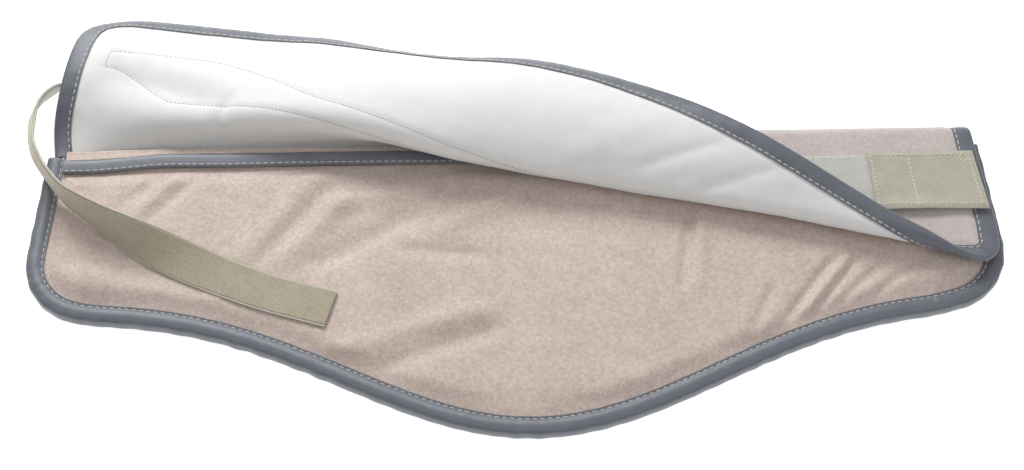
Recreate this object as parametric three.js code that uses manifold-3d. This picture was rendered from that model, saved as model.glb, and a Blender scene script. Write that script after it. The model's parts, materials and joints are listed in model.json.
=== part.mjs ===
// A heated lumbar wrap lying on a table, in millimetres, +Z up.
// One long panel with a shallow lobe is folded on its long middle line. The lower half is the back of a
// pocket that holds a slim heater, with a fleece front panel sewn over it. The upper half is a flap: its
// right end is folded down over the pocket, and its free edge is peeled back like a cuff to the left,
// where the flap lies open behind the fold.
//
// Drawing frame: x along the length, y = 0 at the fold line and negative towards the lobe, z = 0 at the
// table. The last lines move the whole wrap so that its origin is the bottom centre of its box.
import * as THREE from "three";
import Module from "manifold-3d";
import { mergeVertices } from "three/addons/utils/BufferGeometryUtils.js";

// ---- Driving dimensions ----
const gap = 0.3; // clearance between touching pieces
const halfLengthAtFold = 284;
const halfLength = 290;
const endDepth = 114; // fold line to the straight lower edge at both ends
const lobeDepth = 76; // how far the lobe hangs below that edge
const lobeCentreX = 9;
const lobeReach = 330; // from its lowest point to where it would run level
const cornerRadius = 40;
const bindingWidth = 10.5;
const bindingHeight = 8.5;
const mouthBinding = { front: -10.5, back: -2.5, bottom: 7.5, top: 11 };
const mouthFacing = { front: -2.2, back: 1, bottom: 7.5, top: 8.7 };
const inner = bindingWidth + gap; // how far the cloth layers stay inside the outline

// Bottom and top of each layer of the pocket and its heater.
const level = {
  backFleece: [0, 1.6],
  backLining: [1.9, 2.5],
  backFelt: [2.8, 3.6],
  foil: [3.9, 4.2],
  film: [4.5, 4.9],
  busBars: [5.2, 5.5],
  frontFelt: [5.8, 6.8],
  cutOuts: [5.8, 7.2],
  frontLining: [7.5, 8],
  frontFleece: [8.3, 10.3],
};

// ---- Driving dimensions of the flap ----
const fold = { height: 8.5, radius: 6 }; // the middle of the cloth runs round the fold line at this radius
const flapLeft = -281;
const flapRight = 277;
const flapEndHeight = 107.5; // along the cloth, from the fold line to the free edge
const flapLobeHeight = 23; // how much taller the flap is at its lobe
const flapLobeReach = 236;
const flapCorner = { left: 20, right: 14 }; // radii
// The flap's ends widen away from the fold, by the spread over the rise, from the reach outwards.
const flare = { spread: { left: 9, right: 8 }, rise: 82, reach: 200 };
const peel = 26; // length of cloth that the cuff's bend takes
const splitX = 72; // the right part of the flap hinges, the left part stays
// Across the flap: x; the angle the cloth has turned at the fold; its angle once past the cuff's bend;
// the distance along the cloth to the bend; the sideways drift past it; the droop past it.
const stations = [
  { x: -284, rise: 3, lean: 53, bend: 19, drift: 0.3, droop: 67 },
  { x: -217, rise: 62, lean: 13, bend: 24, drift: 0.35, droop: 32 },
  { x: -152, rise: 85, lean: 4, bend: 30, drift: 0.36, droop: 32 },
  { x: -87, rise: 120, lean: 22, bend: 38, drift: 0.38, droop: 58 },
  { x: -22, rise: 167, lean: 47, bend: 42, drift: 0.42, droop: 61 },
  { x: 58, rise: 183, lean: 59, bend: 55, drift: 0.44, droop: 66 },
  { x: 148, rise: 181, lean: 43, bend: 75, drift: 0.67, droop: 29 },
  { x: 228, rise: 180, lean: 25, bend: 97, drift: 0.8, droop: 30 },
  { x: 280, rise: 180, lean: 18, bend: 116, drift: 0.8, droop: 24 },
];
const droopLength = 60;
const flapStart = 5.6; // the cloth before this is left out, which gives the hinge its room
const clothInset = bindingWidth + 2.2; // the flap's cloth stays this far inside its outline
const clothRows = 19;
// Offsets of the flap's layers from the middle of the cloth; plus is the lining side.
const layer = {
  wadding: [-0.7, 0.7],
  lining: [1, 1.5],
  fleece: [-2.1, -1],
  binding: [-2.1, 1.9],
  belt: [-4.1, -3],
  tab: [-5.8, -4.5],
  disc: [2, 2.6],
};

// ---- Driving dimensions of the tapes sewn to the flap's outer face, and of the strap ----
const belt = { centre: 53, width: 38, left: -260, taper: 50, endWidth: 15 };
const hookTab = { left: 212, right: 273, width: 40, slant: 1.5 };
const strapAnchor = { left: -272, right: -243 };
const strap = { width: 24, thickness: 2.2, startStop: 1.2, hingeStop: 12, hingeRoom: 0.08 };
const discs = [
  { side: "left", x: 36, t: 62 },
  { side: "right", x: 92, t: 70 },
];
const discRadius = 5;

const wasm = await Module();
wasm.setup();

// ---- Materials ----
const finish = (color, roughness, metalness = 0) =>
  new THREE.MeshStandardMaterial({ color, roughness, metalness });
const fleeceFinish = () => finish(0xd3c4bb, 0.95);
const liningFinish = () => finish(0xefeeed, 0.8);
const bindingFinish = () => finish(0x62666f, 0.55);
const loopFinish = () => finish(0xc4c3be, 0.85);
const hookFinish = () => finish(0xb7b19a, 0.85);
const feltFinish = () => finish(0xd9d7d2, 0.95);

// ---- Small helpers ----
const clamp = (value, low, high) => Math.min(Math.max(value, low), high);
const ease = (u) => u * u * (3 - 2 * u);
const spread = (low, high, count) =>
  Array.from({ length: count + 1 }, (_, i) => low + ((high - low) * i) / count);
const node = (name, geometry, material) => {
  const mesh = new THREE.Mesh(geometry, material);
  mesh.name = name;
  return mesh;
};

// A smooth curve through the stations: a cubic between each two, with slopes from their neighbours.
function atStation(key, x) {
  const last = stations.length - 1;
  const found = stations.findIndex((s) => s.x > x);
  const i = clamp(found < 0 ? last - 1 : found - 1, 0, last - 1);
  const slope = (k) => {
    const a = stations[Math.max(k - 1, 0)];
    const b = stations[Math.min(k + 1, last)];
    return (b[key] - a[key]) / (b.x - a.x);
  };
  const p = stations[i];
  const q = stations[i + 1];
  const width = q.x - p.x;
  const u = clamp((x - p.x) / width, 0, 1);
  const s = ease(u);
  const tangentP = u * (1 - u) * (1 - u) * width * slope(i);
  const tangentQ = u * u * (u - 1) * width * slope(i + 1);
  return p[key] * (1 - s) + q[key] * s + tangentP + tangentQ;
}

// ---- The pocket ----
// The lobed lower edge: the square of a raised cosine below the ends.
function lowerEdge(x) {
  const share = clamp(Math.abs(x - lobeCentreX) / lobeReach, 0, 1);
  return -endDepth - lobeDepth * ((1 + Math.cos(Math.PI * share)) / 2) ** 2;
}

// The outline of the pocket, drawn in by inset, from the left end of its top edge round to the right.
function pocketOutline(inset, topY) {
  const flare = (y) => clamp(-y / (endDepth - cornerRadius), 0, 1);
  const sideX = (y) => halfLengthAtFold + (halfLength - halfLengthAtFold) * flare(y) - inset;
  const centreX = halfLength - cornerRadius;
  const centreY = cornerRadius - endDepth;
  const radius = Math.max(cornerRadius - inset, 2);
  const drawnIn = inset - (cornerRadius - radius);
  const corner = (side, angle) =>
    new THREE.Vector2(
      side * (centreX - drawnIn + radius * Math.cos(angle)),
      centreY + drawnIn - radius * Math.sin(angle),
    );
  const angles = spread(0, Math.PI / 2, 6);
  const bottom = spread(-centreX + drawnIn, centreX - drawnIn, 30).slice(1, -1).map((x) => {
    const slope = (lowerEdge(x + 1) - lowerEdge(x - 1)) / 2;
    return new THREE.Vector2(x, lowerEdge(x) + inset * Math.hypot(1, slope));
  });
  return [
    new THREE.Vector2(-sideX(topY), topY),
    ...angles.map((a) => corner(-1, a)),
    ...bottom,
    ...angles.toReversed().map((a) => corner(1, a)),
    new THREE.Vector2(sideX(topY), topY),
  ];
}

function slabBetween([bottom, top], shape) {
  const geometry = new THREE.ExtrudeGeometry(shape, { depth: top - bottom, bevelEnabled: false });
  return geometry.translate(0, 0, bottom);
}

function pocketLayer(name, levels, inset, topY, material, holes = []) {
  const shape = new THREE.Shape(pocketOutline(inset, topY));
  for (const { x, y, radius } of holes) {
    const hole = new THREE.Path();
    hole.absarc(x, y, radius, 0, 2 * Math.PI, true);
    shape.holes.push(new THREE.Path(hole.getPoints(4).slice(0, -1)));
  }
  return node(name, slabBetween(levels, shape), material);
}

const box = (x0, x1, y0, y1, z0, z1) =>
  new THREE.BoxGeometry(x1 - x0, y1 - y0, z1 - z0)
    .translate((x0 + x1) / 2, (y0 + y1) / 2, (z0 + z1) / 2);

function pocket() {
  const frontTop = mouthBinding.front - gap;
  const group = new THREE.Group();
  group.add(
    pocketLayer("back_panel_fleece", level.backFleece, inner, -gap, fleeceFinish()),
    pocketLayer("back_panel_lining", level.backLining, inner, -gap, liningFinish()),
    pocketLayer("front_panel_lining", level.frontLining, inner, frontTop, liningFinish()),
    pocketLayer("front_panel_fleece", level.frontFleece, inner, frontTop, fleeceFinish()),
  );
  // The binding is one folded tape round the ends and the lobed edge, open at the fold.
  const ring = [...pocketOutline(0, -gap), ...pocketOutline(bindingWidth, -gap).toReversed()];
  group.add(node("edge_binding", slabBetween([0, bindingHeight], new THREE.Shape(ring)), bindingFinish()));
  const mouthEnd = halfLengthAtFold - inner;
  const facingEnd = mouthEnd - 1;
  const strip = ({ front, back, bottom, top }, end) => box(-end, end, front, back, bottom, top);
  group.add(
    node("mouth_binding", strip(mouthBinding, mouthEnd), bindingFinish()),
    node("mouth_facing", strip(mouthFacing, facingEnd), fleeceFinish()),
  );
  return group;
}

// ---- The heater that the pocket holds ----
const heater = {
  inset: 22,
  topY: -20,
  cutOuts: [
    { x: -242.5, y: -55, radius: 5 },
    { x: 9, y: -31.5, radius: 5 },
  ],
  bar: 5, // width of a copper bus bar
  barEndX: 240,
  upperBarY: -34,
  lowerBarY: -82,
  inlet: { x: -236, width: 30, depth: 15, slot: 6, slotHeight: 2, pinGap: 13 },
};

// Each bus bar runs the length of the film and turns up to its own pin at the left end.
function busBar(y, pinX) {
  const { bar, barEndX, topY } = heater;
  const outline = [
    [pinX - bar / 2, y],
    [barEndX, y],
    [barEndX, y + bar],
    [pinX + bar / 2, y + bar],
    [pinX + bar / 2, topY - 7],
    [pinX - bar / 2, topY - 7],
  ];
  return slabBetween(level.busBars, new THREE.Shape(outline.map((p) => new THREE.Vector2(...p))));
}

// The flat power inlet on the heater's upper left edge: a housing with one through slot for each pin.
function inletHousing() {
  const { x, width, depth, slot, slotHeight, pinGap } = heater.inlet;
  const [bottom] = level.backFelt;
  const top = level.frontFelt[1];
  const middle = (bottom + top) / 2;
  const front = heater.topY + gap;
  const body = toManifold(box(x - width / 2, x + width / 2, front, front + depth, bottom, top));
  const slots = [-1, 1].map((side) => {
    const slotX = x + (side * pinGap) / 2;
    const [y0, y1] = [front - 1, front + depth + 1];
    return toManifold(
      box(slotX - slot / 2, slotX + slot / 2, y0, y1, middle - slotHeight / 2, middle + slotHeight / 2),
    );
  });
  return fromManifold(slots.reduce((solid, hole) => solid.subtract(hole), body));
}

function heaterPieces() {
  const { inset, topY, cutOuts, upperBarY, lowerBarY, inlet } = heater;
  const copper = () => finish(0xb5713f, 0.35, 0.9);
  const brass = () => finish(0xc7a252, 0.3, 0.9);
  const middle = (level.backFelt[0] + level.frontFelt[1]) / 2;
  const pinX = (side) => inlet.x + (side * inlet.pinGap) / 2;
  const pin = (x) =>
    box(x - 1.2, x + 1.2, topY - 5.5, topY + inlet.depth - 3, middle - 0.4, middle + 0.4);
  const cutOut = ({ x, y, radius }) =>
    new THREE.CylinderGeometry(radius, radius, level.cutOuts[1] - level.cutOuts[0], 16)
      .rotateX(Math.PI / 2)
      .translate(x, y, (level.cutOuts[0] + level.cutOuts[1]) / 2);
  const holes = cutOuts.map((c) => ({ ...c, radius: c.radius + 1 }));
  const group = new THREE.Group();
  group.add(
    pocketLayer("heater_back_felt", level.backFelt, inset, topY, feltFinish()),
    pocketLayer("heater_foil", level.foil, inset + 2, topY - 2, finish(0xc9cbcf, 0.3, 0.9)),
    pocketLayer("heating_film", level.film, inset + 6, topY - 6, finish(0x23252a, 0.5)),
    node("bus_bar_upper", busBar(upperBarY, pinX(1)), copper()),
    node("bus_bar_lower", busBar(lowerBarY, pinX(-1)), copper()),
    pocketLayer("heater_front_felt", level.frontFelt, inset, topY, feltFinish(), holes),
    node("thermal_cutout_left", cutOut(cutOuts[0]), finish(0xe8e6df, 0.5)),
    node("thermal_cutout_middle", cutOut(cutOuts[1]), finish(0xe8e6df, 0.5)),
    node("inlet_housing", inletHousing(), finish(0x2b2d31, 0.5)),
    node("inlet_pin_left", pin(pinX(-1)), brass()),
    node("inlet_pin_right", pin(pinX(1)), brass()),
  );
  return group;
}

// ---- Joining and cutting ----
function toManifold(geometry) {
  const bare = geometry.clone();
  bare.deleteAttribute("normal");
  bare.deleteAttribute("uv");
  const merged = mergeVertices(bare, 1e-4);
  return new wasm.Manifold(
    new wasm.Mesh({
      numProp: 3,
      vertProperties: new Float32Array(merged.attributes.position.array),
      triVerts: new Uint32Array(merged.index.array),
    }),
  );
}

function fromManifold(solid) {
  const mesh = solid.getMesh();
  const geometry = new THREE.BufferGeometry();
  geometry.setAttribute("position", new THREE.BufferAttribute(mesh.vertProperties, 3));
  geometry.setIndex(new THREE.BufferAttribute(mesh.triVerts, 1));
  return geometry;
}

// ---- The flap ----
// Height of the flap along the cloth at x, drawn in by inset: straight ends, a lobe in the middle and
// rounded corners.
function flapHeight(x, inset = 0) {
  const share = clamp(Math.abs(x - lobeCentreX) / flapLobeReach, 0, 1);
  const straight = flapEndHeight + (flapLobeHeight / 2) * (1 + Math.cos(Math.PI * share));
  const corner = x < lobeCentreX ? flapCorner.left : flapCorner.right;
  const radius = corner - inset;
  const short = clamp(corner - Math.min(x - flapLeft, flapRight - x), 0, radius);
  return straight - corner + Math.sqrt(radius ** 2 - short ** 2);
}

// How far the cloth above x is moved outwards at distance t, where the flap's ends widen.
function flareShift(x, t) {
  const share = clamp((Math.abs(x) - flare.reach) / (flapRight - flare.reach), 0, 1);
  const spread = x < 0 ? -flare.spread.left : flare.spread.right;
  return spread * share * clamp(t / flare.rise, 0, 1);
}

// Points of the middle of the cloth above station x, at the given distances from the fold line. The
// cloth rises round the fold, runs straight, turns back through the cuff's bend and droops past it.
function flapColumn(x, distances) {
  const radians = Math.PI / 180;
  const keys = ["rise", "lean", "bend", "drift", "droop"];
  const at = Object.fromEntries(keys.map((key) => [key, atStation(key, x)]));
  const riseLength = Math.max(fold.radius * at.rise * radians, 0.01);
  const step = 0.5;
  const point = new THREE.Vector3(x, 0, fold.height - fold.radius);
  const points = [];
  let travelled = 0;
  for (const target of distances) {
    while (travelled < target - 1e-6) {
      const length = Math.min(step, target - travelled);
      const t = travelled + length / 2;
      const turned = ease(clamp((t - at.bend + peel / 2) / peel, 0, 1));
      const before = at.rise * clamp(t / riseLength, 0, 1);
      const past = at.lean - at.droop * clamp((t - at.bend) / droopLength, 0, 2);
      const angle = (before * (1 - turned) + past * turned) * radians;
      const side = at.drift * turned;
      const forward = Math.sqrt(1 - side * side);
      point.x += length * side;
      point.y += length * forward * Math.cos(angle);
      point.z += length * forward * Math.sin(angle);
      travelled += length;
    }
    points.push(point.clone().setX(point.x + flareShift(x, target)));
  }
  return points;
}

// A grid of points of the cloth, with the direction of its lining side at each.
function flapGrid(columns) {
  const points = columns.map(({ x, distances }) => flapColumn(x, distances));
  const across = points.length - 1;
  const up = points[0].length - 1;
  const normals = points.map((column, i) =>
    column.map((_, j) => {
      const right = points[Math.min(i + 1, across)][j];
      const left = points[Math.max(i - 1, 0)][j];
      const above = column[Math.min(j + 1, up)];
      const below = column[Math.max(j - 1, 0)];
      const along = right.clone().sub(left);
      const rise = above.clone().sub(below);
      return along.cross(rise).normalize();
    }),
  );
  return { points, normals };
}

// A closed sheet on a grid, between two offsets along its normals.
function sheet({ points, normals }, [low, high]) {
  const rows = points[0].length;
  const columns = points.length;
  const position = [];
  for (const offset of [low, high]) {
    points.forEach((column, i) =>
      column.forEach((p, j) => {
        const moved = p.clone().addScaledVector(normals[i][j], offset);
        position.push(moved.x, moved.y, moved.z);
      }),
    );
  }
  const lowAt = (i, j) => i * rows + j;
  const highAt = (i, j) => columns * rows + lowAt(i, j);
  const index = [];
  for (let i = 0; i < columns - 1; i++) {
    for (let j = 0; j < rows - 1; j++) {
      index.push(highAt(i, j), highAt(i + 1, j), highAt(i + 1, j + 1));
      index.push(highAt(i, j), highAt(i + 1, j + 1), highAt(i, j + 1));
      index.push(lowAt(i, j), lowAt(i + 1, j + 1), lowAt(i + 1, j));
      index.push(lowAt(i, j), lowAt(i, j + 1), lowAt(i + 1, j + 1));
    }
  }
  const rim = [
    ...spread(0, columns - 1, columns - 1).slice(0, -1).map((i) => [i, 0]),
    ...spread(0, rows - 1, rows - 1).slice(0, -1).map((j) => [columns - 1, j]),
    ...spread(0, columns - 1, columns - 1).slice(1).toReversed().map((i) => [i, rows - 1]),
    ...spread(0, rows - 1, rows - 1).slice(1).toReversed().map((j) => [0, j]),
  ];
  rim.forEach((here, k) => {
    const next = rim[(k + 1) % rim.length];
    index.push(lowAt(...here), lowAt(...next), highAt(...next));
    index.push(lowAt(...here), highAt(...next), highAt(...here));
  });
  const geometry = new THREE.BufferGeometry();
  geometry.setAttribute("position", new THREE.BufferAttribute(new Float32Array(position), 3));
  geometry.setIndex(index);
  return geometry;
}

// The flap's cloth inside its binding.
function clothGrid() {
  const xs = spread(flapLeft + clothInset, flapRight - clothInset, 34);
  return flapGrid(
    xs.map((x) => ({ x, distances: spread(flapStart, flapHeight(x, clothInset), clothRows) })),
  );
}

// The binding of the flap's ends and free edge: a strip of columns, each from the tape's inner edge to
// its outer edge, that runs up the left end, along the free edge and down the right end.
function bindingGrid() {
  const { left, right } = flapCorner;
  const climb = (corner) => spread(flapStart, flapEndHeight - corner, 9);
  const turn = spread(0, Math.PI / 2, 5).slice(1);
  const atCorner = (centreX, corner, inset, angle) => ({
    x: centreX + Math.cos(angle) * (corner - inset),
    t: flapEndHeight - corner + Math.sin(angle) * (corner - inset),
  });
  const ring = (inset) => [
    ...climb(left).map((t) => ({ x: flapLeft + inset, t })),
    ...turn.map((a) => atCorner(flapLeft + left, left, inset, Math.PI - a)),
    ...spread(flapLeft + left, flapRight - right, 30)
      .slice(1)
      .map((x) => ({ x, t: flapHeight(x, inset) })),
    ...turn.toReversed().slice(1).map((a) => atCorner(flapRight - right, right, inset, a)),
    ...climb(right).toReversed().map((t) => ({ x: flapRight - inset, t })),
  ];
  const inner = ring(bindingWidth);
  const outer = ring(0);
  const place = ({ x, t }) => flapColumn(x, [t])[0];
  const facing = ({ x, t }) => {
    const [here, above] = flapColumn(x, [t - 0.5, t + 0.5]);
    const [beside] = flapColumn(x + 1, [t - 0.5]);
    return beside.sub(here).cross(above.sub(here)).normalize();
  };
  const points = inner.map((p, i) => [place(p), place(outer[i])]);
  const normals = inner.map((p, i) => [facing(p), facing(outer[i])]);
  return { points, normals };
}

// The belt band on the outer face, which narrows evenly to its left end.
function beltGrid() {
  const { centre, width, left, taper, endWidth } = belt;
  const right = flapRight - bindingWidth - 1;
  const xs = [...spread(left, left + taper, 3), ...spread(left + 1.4 * taper, right, 22)];
  return flapGrid(
    xs.map((x) => {
      const cut = (width - endWidth) * clamp(1 - (x - left) / taper, 0, 1);
      return { x, distances: spread(centre - width / 2 + cut, centre + width / 2, 7) };
    }),
  );
}

// A patch of tape sewn over the belt band, on its centre line. Its cloth is shifted along by the slant.
function patchGrid({ left, right, slant = 0 }, width, columns, rows) {
  const distances = spread(belt.centre - width / 2, belt.centre + width / 2, rows);
  const grid = flapGrid(spread(left, right, columns).map((x) => ({ x, distances })));
  for (const column of grid.points) {
    column.forEach((point, j) => point.setX(point.x + (slant * j) / rows));
  }
  return grid;
}

// The part of a solid to the left or to the right of the flap's split.
function cutAtSplit(geometry, side) {
  const reach = 400;
  const edge = splitX + side * gap;
  const [x0, x1] = side < 0 ? [-reach, edge] : [edge, reach];
  const half = toManifold(box(x0, x1, -reach, reach, -reach, reach));
  return fromManifold(toManifold(geometry).intersect(half));
}

// A small round disc on the lining.
function liningDisc({ x, t }) {
  const [low, high] = layer.disc;
  const [centre, above] = flapColumn(x, [t, t + 1]);
  const [beside] = flapColumn(x + 1, [t]);
  const normal = beside.sub(centre).cross(above.sub(centre)).normalize();
  const turn = new THREE.Quaternion().setFromUnitVectors(new THREE.Vector3(0, 1, 0), normal);
  return new THREE.CylinderGeometry(discRadius, discRadius, high - low, 16)
    .applyQuaternion(turn)
    .translate(...centre.addScaledVector(normal, (low + high) / 2).toArray());
}

function flapHalf(side, word) {
  const cloth = clothGrid();
  const half = (name, grid, offsets, material) =>
    node(`flap_${word}_${name}`, cutAtSplit(sheet(grid, offsets), side), material);
  const group = new THREE.Group();
  group.add(
    half("fleece", cloth, layer.fleece, fleeceFinish()),
    half("wadding", cloth, layer.wadding, feltFinish()),
    half("lining", cloth, layer.lining, liningFinish()),
    half("binding", bindingGrid(), layer.binding, bindingFinish()),
    half("belt_band", beltGrid(), layer.belt, loopFinish()),
  );
  return group;
}

// ---- The strap ----
// Centre line of the strap and how far its width leans from upright: it leaves the flap's outer face on
// edge, curls out round the left end and lies down across the front panel.
const strapRoute = [
  { at: [-277, 49, 10], lie: 26 },
  { at: [-283, 45, 11.5], lie: 26 },
  { at: [-290, 37, 13.2], lie: 25 },
  { at: [-294, 27, 14], lie: 25 },
  { at: [-294, 14, 14.6], lie: 21 },
  { at: [-291, -1, 17.5], lie: 12 },
  { at: [-284, -15, 21.5], lie: 6 },
  { at: [-277, -26, 23.6], lie: 3 },
  { at: [-267, -38, 23.6], lie: 5 },
  { at: [-252, -49, 23], lie: 14 },
  { at: [-236, -59, 22], lie: 26 },
  { at: [-216, -70, 19.8], lie: 50 },
  { at: [-184, -84, 14.2], lie: 80 },
  { at: [-147, -99, 12.4], lie: 90 },
  { at: [-108, -111, 12.3], lie: 90 },
];

function strapGrid(from, to, columns) {
  const line = new THREE.CatmullRomCurve3(strapRoute.map(({ at }) => new THREE.Vector3(...at)));
  const lastStop = strapRoute.length - 1;
  const up = new THREE.Vector3(0, 0, 1);
  const points = [];
  const normals = [];
  for (const stop of spread(from, to, columns)) {
    const u = stop / lastStop;
    const centre = line.getPoint(u);
    const ahead = line.getTangent(u);
    const i = clamp(Math.floor(stop), 0, lastStop - 1);
    const lie = THREE.MathUtils.degToRad(
      THREE.MathUtils.lerp(strapRoute[i].lie, strapRoute[i + 1].lie, stop - i),
    );
    const flat = new THREE.Vector3().crossVectors(up, ahead).normalize();
    const across = up.clone().multiplyScalar(Math.cos(lie)).addScaledVector(flat, Math.sin(lie));
    const normal = new THREE.Vector3().crossVectors(ahead, across).normalize();
    const half = strap.width / 2;
    points.push([-half, half].map((w) => centre.clone().addScaledVector(across, w)));
    normals.push([normal, normal]);
  }
  return { points, normals };
}

// The bow starts outside the flap's binding and ends short of the hinge; the free run starts past it.
function strapPieces() {
  const { thickness, startStop, hingeStop, hingeRoom } = strap;
  const offsets = [-thickness / 2, thickness / 2];
  const bow = strapGrid(startStop, hingeStop - hingeRoom, 36);
  const run = strapGrid(hingeStop + hingeRoom, strapRoute.length - 1, 8);
  const group = new THREE.Group();
  group.add(
    node("strap_anchor", sheet(patchGrid(strapAnchor, strap.width, 4, 4), layer.tab), hookFinish()),
    node("strap_bow", sheet(bow, offsets), hookFinish()),
    node("strap_run", sheet(run, offsets), hookFinish()),
  );
  return group;
}

// ---- Assembly ----
const wrap = new THREE.Group();
wrap.add(pocket(), heaterPieces(), flapHalf(-1, "left"), flapHalf(1, "right"));
wrap.add(
  node("hook_tab", sheet(patchGrid(hookTab, hookTab.width, 6, 3), layer.tab), hookFinish()),
  ...discs.map((disc) => node(`lining_disc_${disc.side}`, liningDisc(disc), finish(0xb9b9b8, 0.6))),
  strapPieces(),
);

// The origin is the bottom centre of the whole wrap's box.
const bounds = new THREE.Box3().setFromObject(wrap, true);
const centre = bounds.getCenter(new THREE.Vector3());
wrap.position.set(-centre.x, -centre.y, -bounds.min.z);
const assembly = new THREE.Group();
assembly.add(wrap);

export default assembly;
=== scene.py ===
"""A heated lumbar wrap of fleece, twill and folded tape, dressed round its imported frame.

Shapes are worked out in millimetres in the drawing frame of the pattern: x along the length, y = 0 at the
fold line and negative towards the lobe, z = 0 at the table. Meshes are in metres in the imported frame.
"""

import json
import logging
from dataclasses import dataclass, field
from enum import Enum

import bpy
import numpy as np
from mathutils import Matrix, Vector

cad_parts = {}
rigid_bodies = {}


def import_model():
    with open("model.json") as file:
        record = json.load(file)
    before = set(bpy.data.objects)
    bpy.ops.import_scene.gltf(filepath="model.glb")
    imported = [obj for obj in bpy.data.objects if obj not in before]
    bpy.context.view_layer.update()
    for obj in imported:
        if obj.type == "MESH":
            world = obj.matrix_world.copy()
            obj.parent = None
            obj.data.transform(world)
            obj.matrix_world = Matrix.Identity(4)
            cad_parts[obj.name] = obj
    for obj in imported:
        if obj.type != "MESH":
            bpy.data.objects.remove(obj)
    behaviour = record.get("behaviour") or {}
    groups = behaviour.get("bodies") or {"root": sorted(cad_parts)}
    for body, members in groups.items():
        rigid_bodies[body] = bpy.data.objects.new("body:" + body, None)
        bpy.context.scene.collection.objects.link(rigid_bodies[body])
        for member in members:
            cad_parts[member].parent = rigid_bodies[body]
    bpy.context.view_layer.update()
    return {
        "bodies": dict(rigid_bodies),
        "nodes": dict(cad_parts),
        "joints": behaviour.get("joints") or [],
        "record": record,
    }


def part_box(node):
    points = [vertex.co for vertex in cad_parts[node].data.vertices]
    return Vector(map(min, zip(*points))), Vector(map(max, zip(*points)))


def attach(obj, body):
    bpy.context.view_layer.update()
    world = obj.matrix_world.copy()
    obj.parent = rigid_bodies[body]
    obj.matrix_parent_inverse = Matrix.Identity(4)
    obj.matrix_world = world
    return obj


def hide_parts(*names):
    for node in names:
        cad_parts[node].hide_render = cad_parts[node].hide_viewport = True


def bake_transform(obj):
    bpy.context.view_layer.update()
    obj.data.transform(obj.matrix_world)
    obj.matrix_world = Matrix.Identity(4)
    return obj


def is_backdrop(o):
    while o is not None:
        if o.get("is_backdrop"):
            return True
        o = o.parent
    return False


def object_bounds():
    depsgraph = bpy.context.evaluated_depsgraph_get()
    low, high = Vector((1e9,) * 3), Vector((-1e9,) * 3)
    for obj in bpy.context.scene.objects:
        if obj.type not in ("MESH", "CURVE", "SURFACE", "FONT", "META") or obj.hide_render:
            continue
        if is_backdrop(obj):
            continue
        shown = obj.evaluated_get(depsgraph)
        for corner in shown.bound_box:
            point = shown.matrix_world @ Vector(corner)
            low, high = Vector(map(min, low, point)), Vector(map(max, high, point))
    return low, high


Array = np.ndarray
Colour = tuple[float, float, float]
Spot = tuple[float, float, float]
Surface = tuple[Array, list[Array]]

MM = 0.001
log = logging.getLogger("wrap")


# ---- Arithmetic on whole arrays ----


def smooth(share: Array) -> Array:
    """Smoothstep: 3u² − 2u³ of the share u, held between 0 and 1."""
    held = np.clip(share, 0.0, 1.0)
    return held * held * (3.0 - 2.0 * held)


def unit(vectors: Array) -> Array:
    """Vectors divided by their lengths."""
    return vectors / np.maximum(np.linalg.norm(vectors, axis=-1, keepdims=True), 1e-12)


def ripple(a: Array, b: Array | float, wavelength: float, seed: int, waves: int = 7) -> Array:
    """Irregular gentle waves on two coordinates, about −1 to 1: the mean of sines that run in seeded
    directions with seeded lengths near the wavelength, times the root of their number.

    Args:
        a, b: coordinates in mm, of one shape or broadcast together.
        wavelength: typical distance between crests, in mm.
        seed: picks the directions, lengths and phases.
        waves: how many sines are summed.

    Returns:
        The height at each point.
    """
    dice = np.random.default_rng(seed)
    turn = dice.uniform(0.0, 2.0 * np.pi, waves)
    number = 2.0 * np.pi / (wavelength * dice.uniform(0.7, 1.5, waves))
    phase = dice.uniform(0.0, 2.0 * np.pi, waves)
    a, b = np.broadcast_arrays(a, b)
    angle = a[..., None] * np.cos(turn) * number + b[..., None] * np.sin(turn) * number + phase
    return np.sin(angle).sum(axis=-1) / np.sqrt(waves)


@dataclass(frozen=True)
class Crease:
    """A soft ridge, or a furrow if its height is negative, along a line between two points of a cloth."""

    start: tuple[float, float]
    end: tuple[float, float]
    width: float
    height: float

    def lift(self, a: Array, b: Array) -> Array:
        """Height at (a, b) in mm: height · exp(−(across / width)²), faded past both ends."""
        run = np.subtract(self.end, self.start)
        length = float(np.hypot(*run))
        ahead, side = run / length, np.array([-run[1], run[0]]) / length
        along = (a - self.start[0]) * ahead[0] + (b - self.start[1]) * ahead[1]
        across = (a - self.start[0]) * side[0] + (b - self.start[1]) * side[1]
        beyond = np.maximum(np.maximum(-along, along - length), 0.0)
        return self.height * np.exp(-((across / self.width) ** 2) - (beyond / (2.0 * self.width)) ** 2)


def walk(path: Array, pitch: float, *carried: Array) -> list[Array]:
    """Evenly spaced points of a path, by linear interpolation over its running length.

    Args:
        path: points in a row, (n, 2 or 3).
        pitch: wanted spacing, rounded so that a whole number fits.
        carried: other values at the same points, resampled in the same way.

    Returns:
        The resampled path, then each carried array.
    """
    run = np.concatenate([[0.0], np.cumsum(np.linalg.norm(np.diff(path, axis=0), axis=1))])
    count = max(int(round(run[-1] / pitch)), 1)
    stops = (np.arange(count) + 0.5) * run[-1] / count
    return [
        np.stack([np.interp(stops, run, column) for column in values.T], axis=1)
        for values in (path, *carried)
    ]


# ---- Surfaces ----


def quads(index: Array) -> Array:
    """The four corners of every cell of a grid of vertex numbers, counter-clockwise seen from i × j."""
    cells = [index[:-1, :-1], index[1:, :-1], index[1:, 1:], index[:-1, 1:]]
    return np.stack([c.ravel() for c in cells], axis=1)


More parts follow.
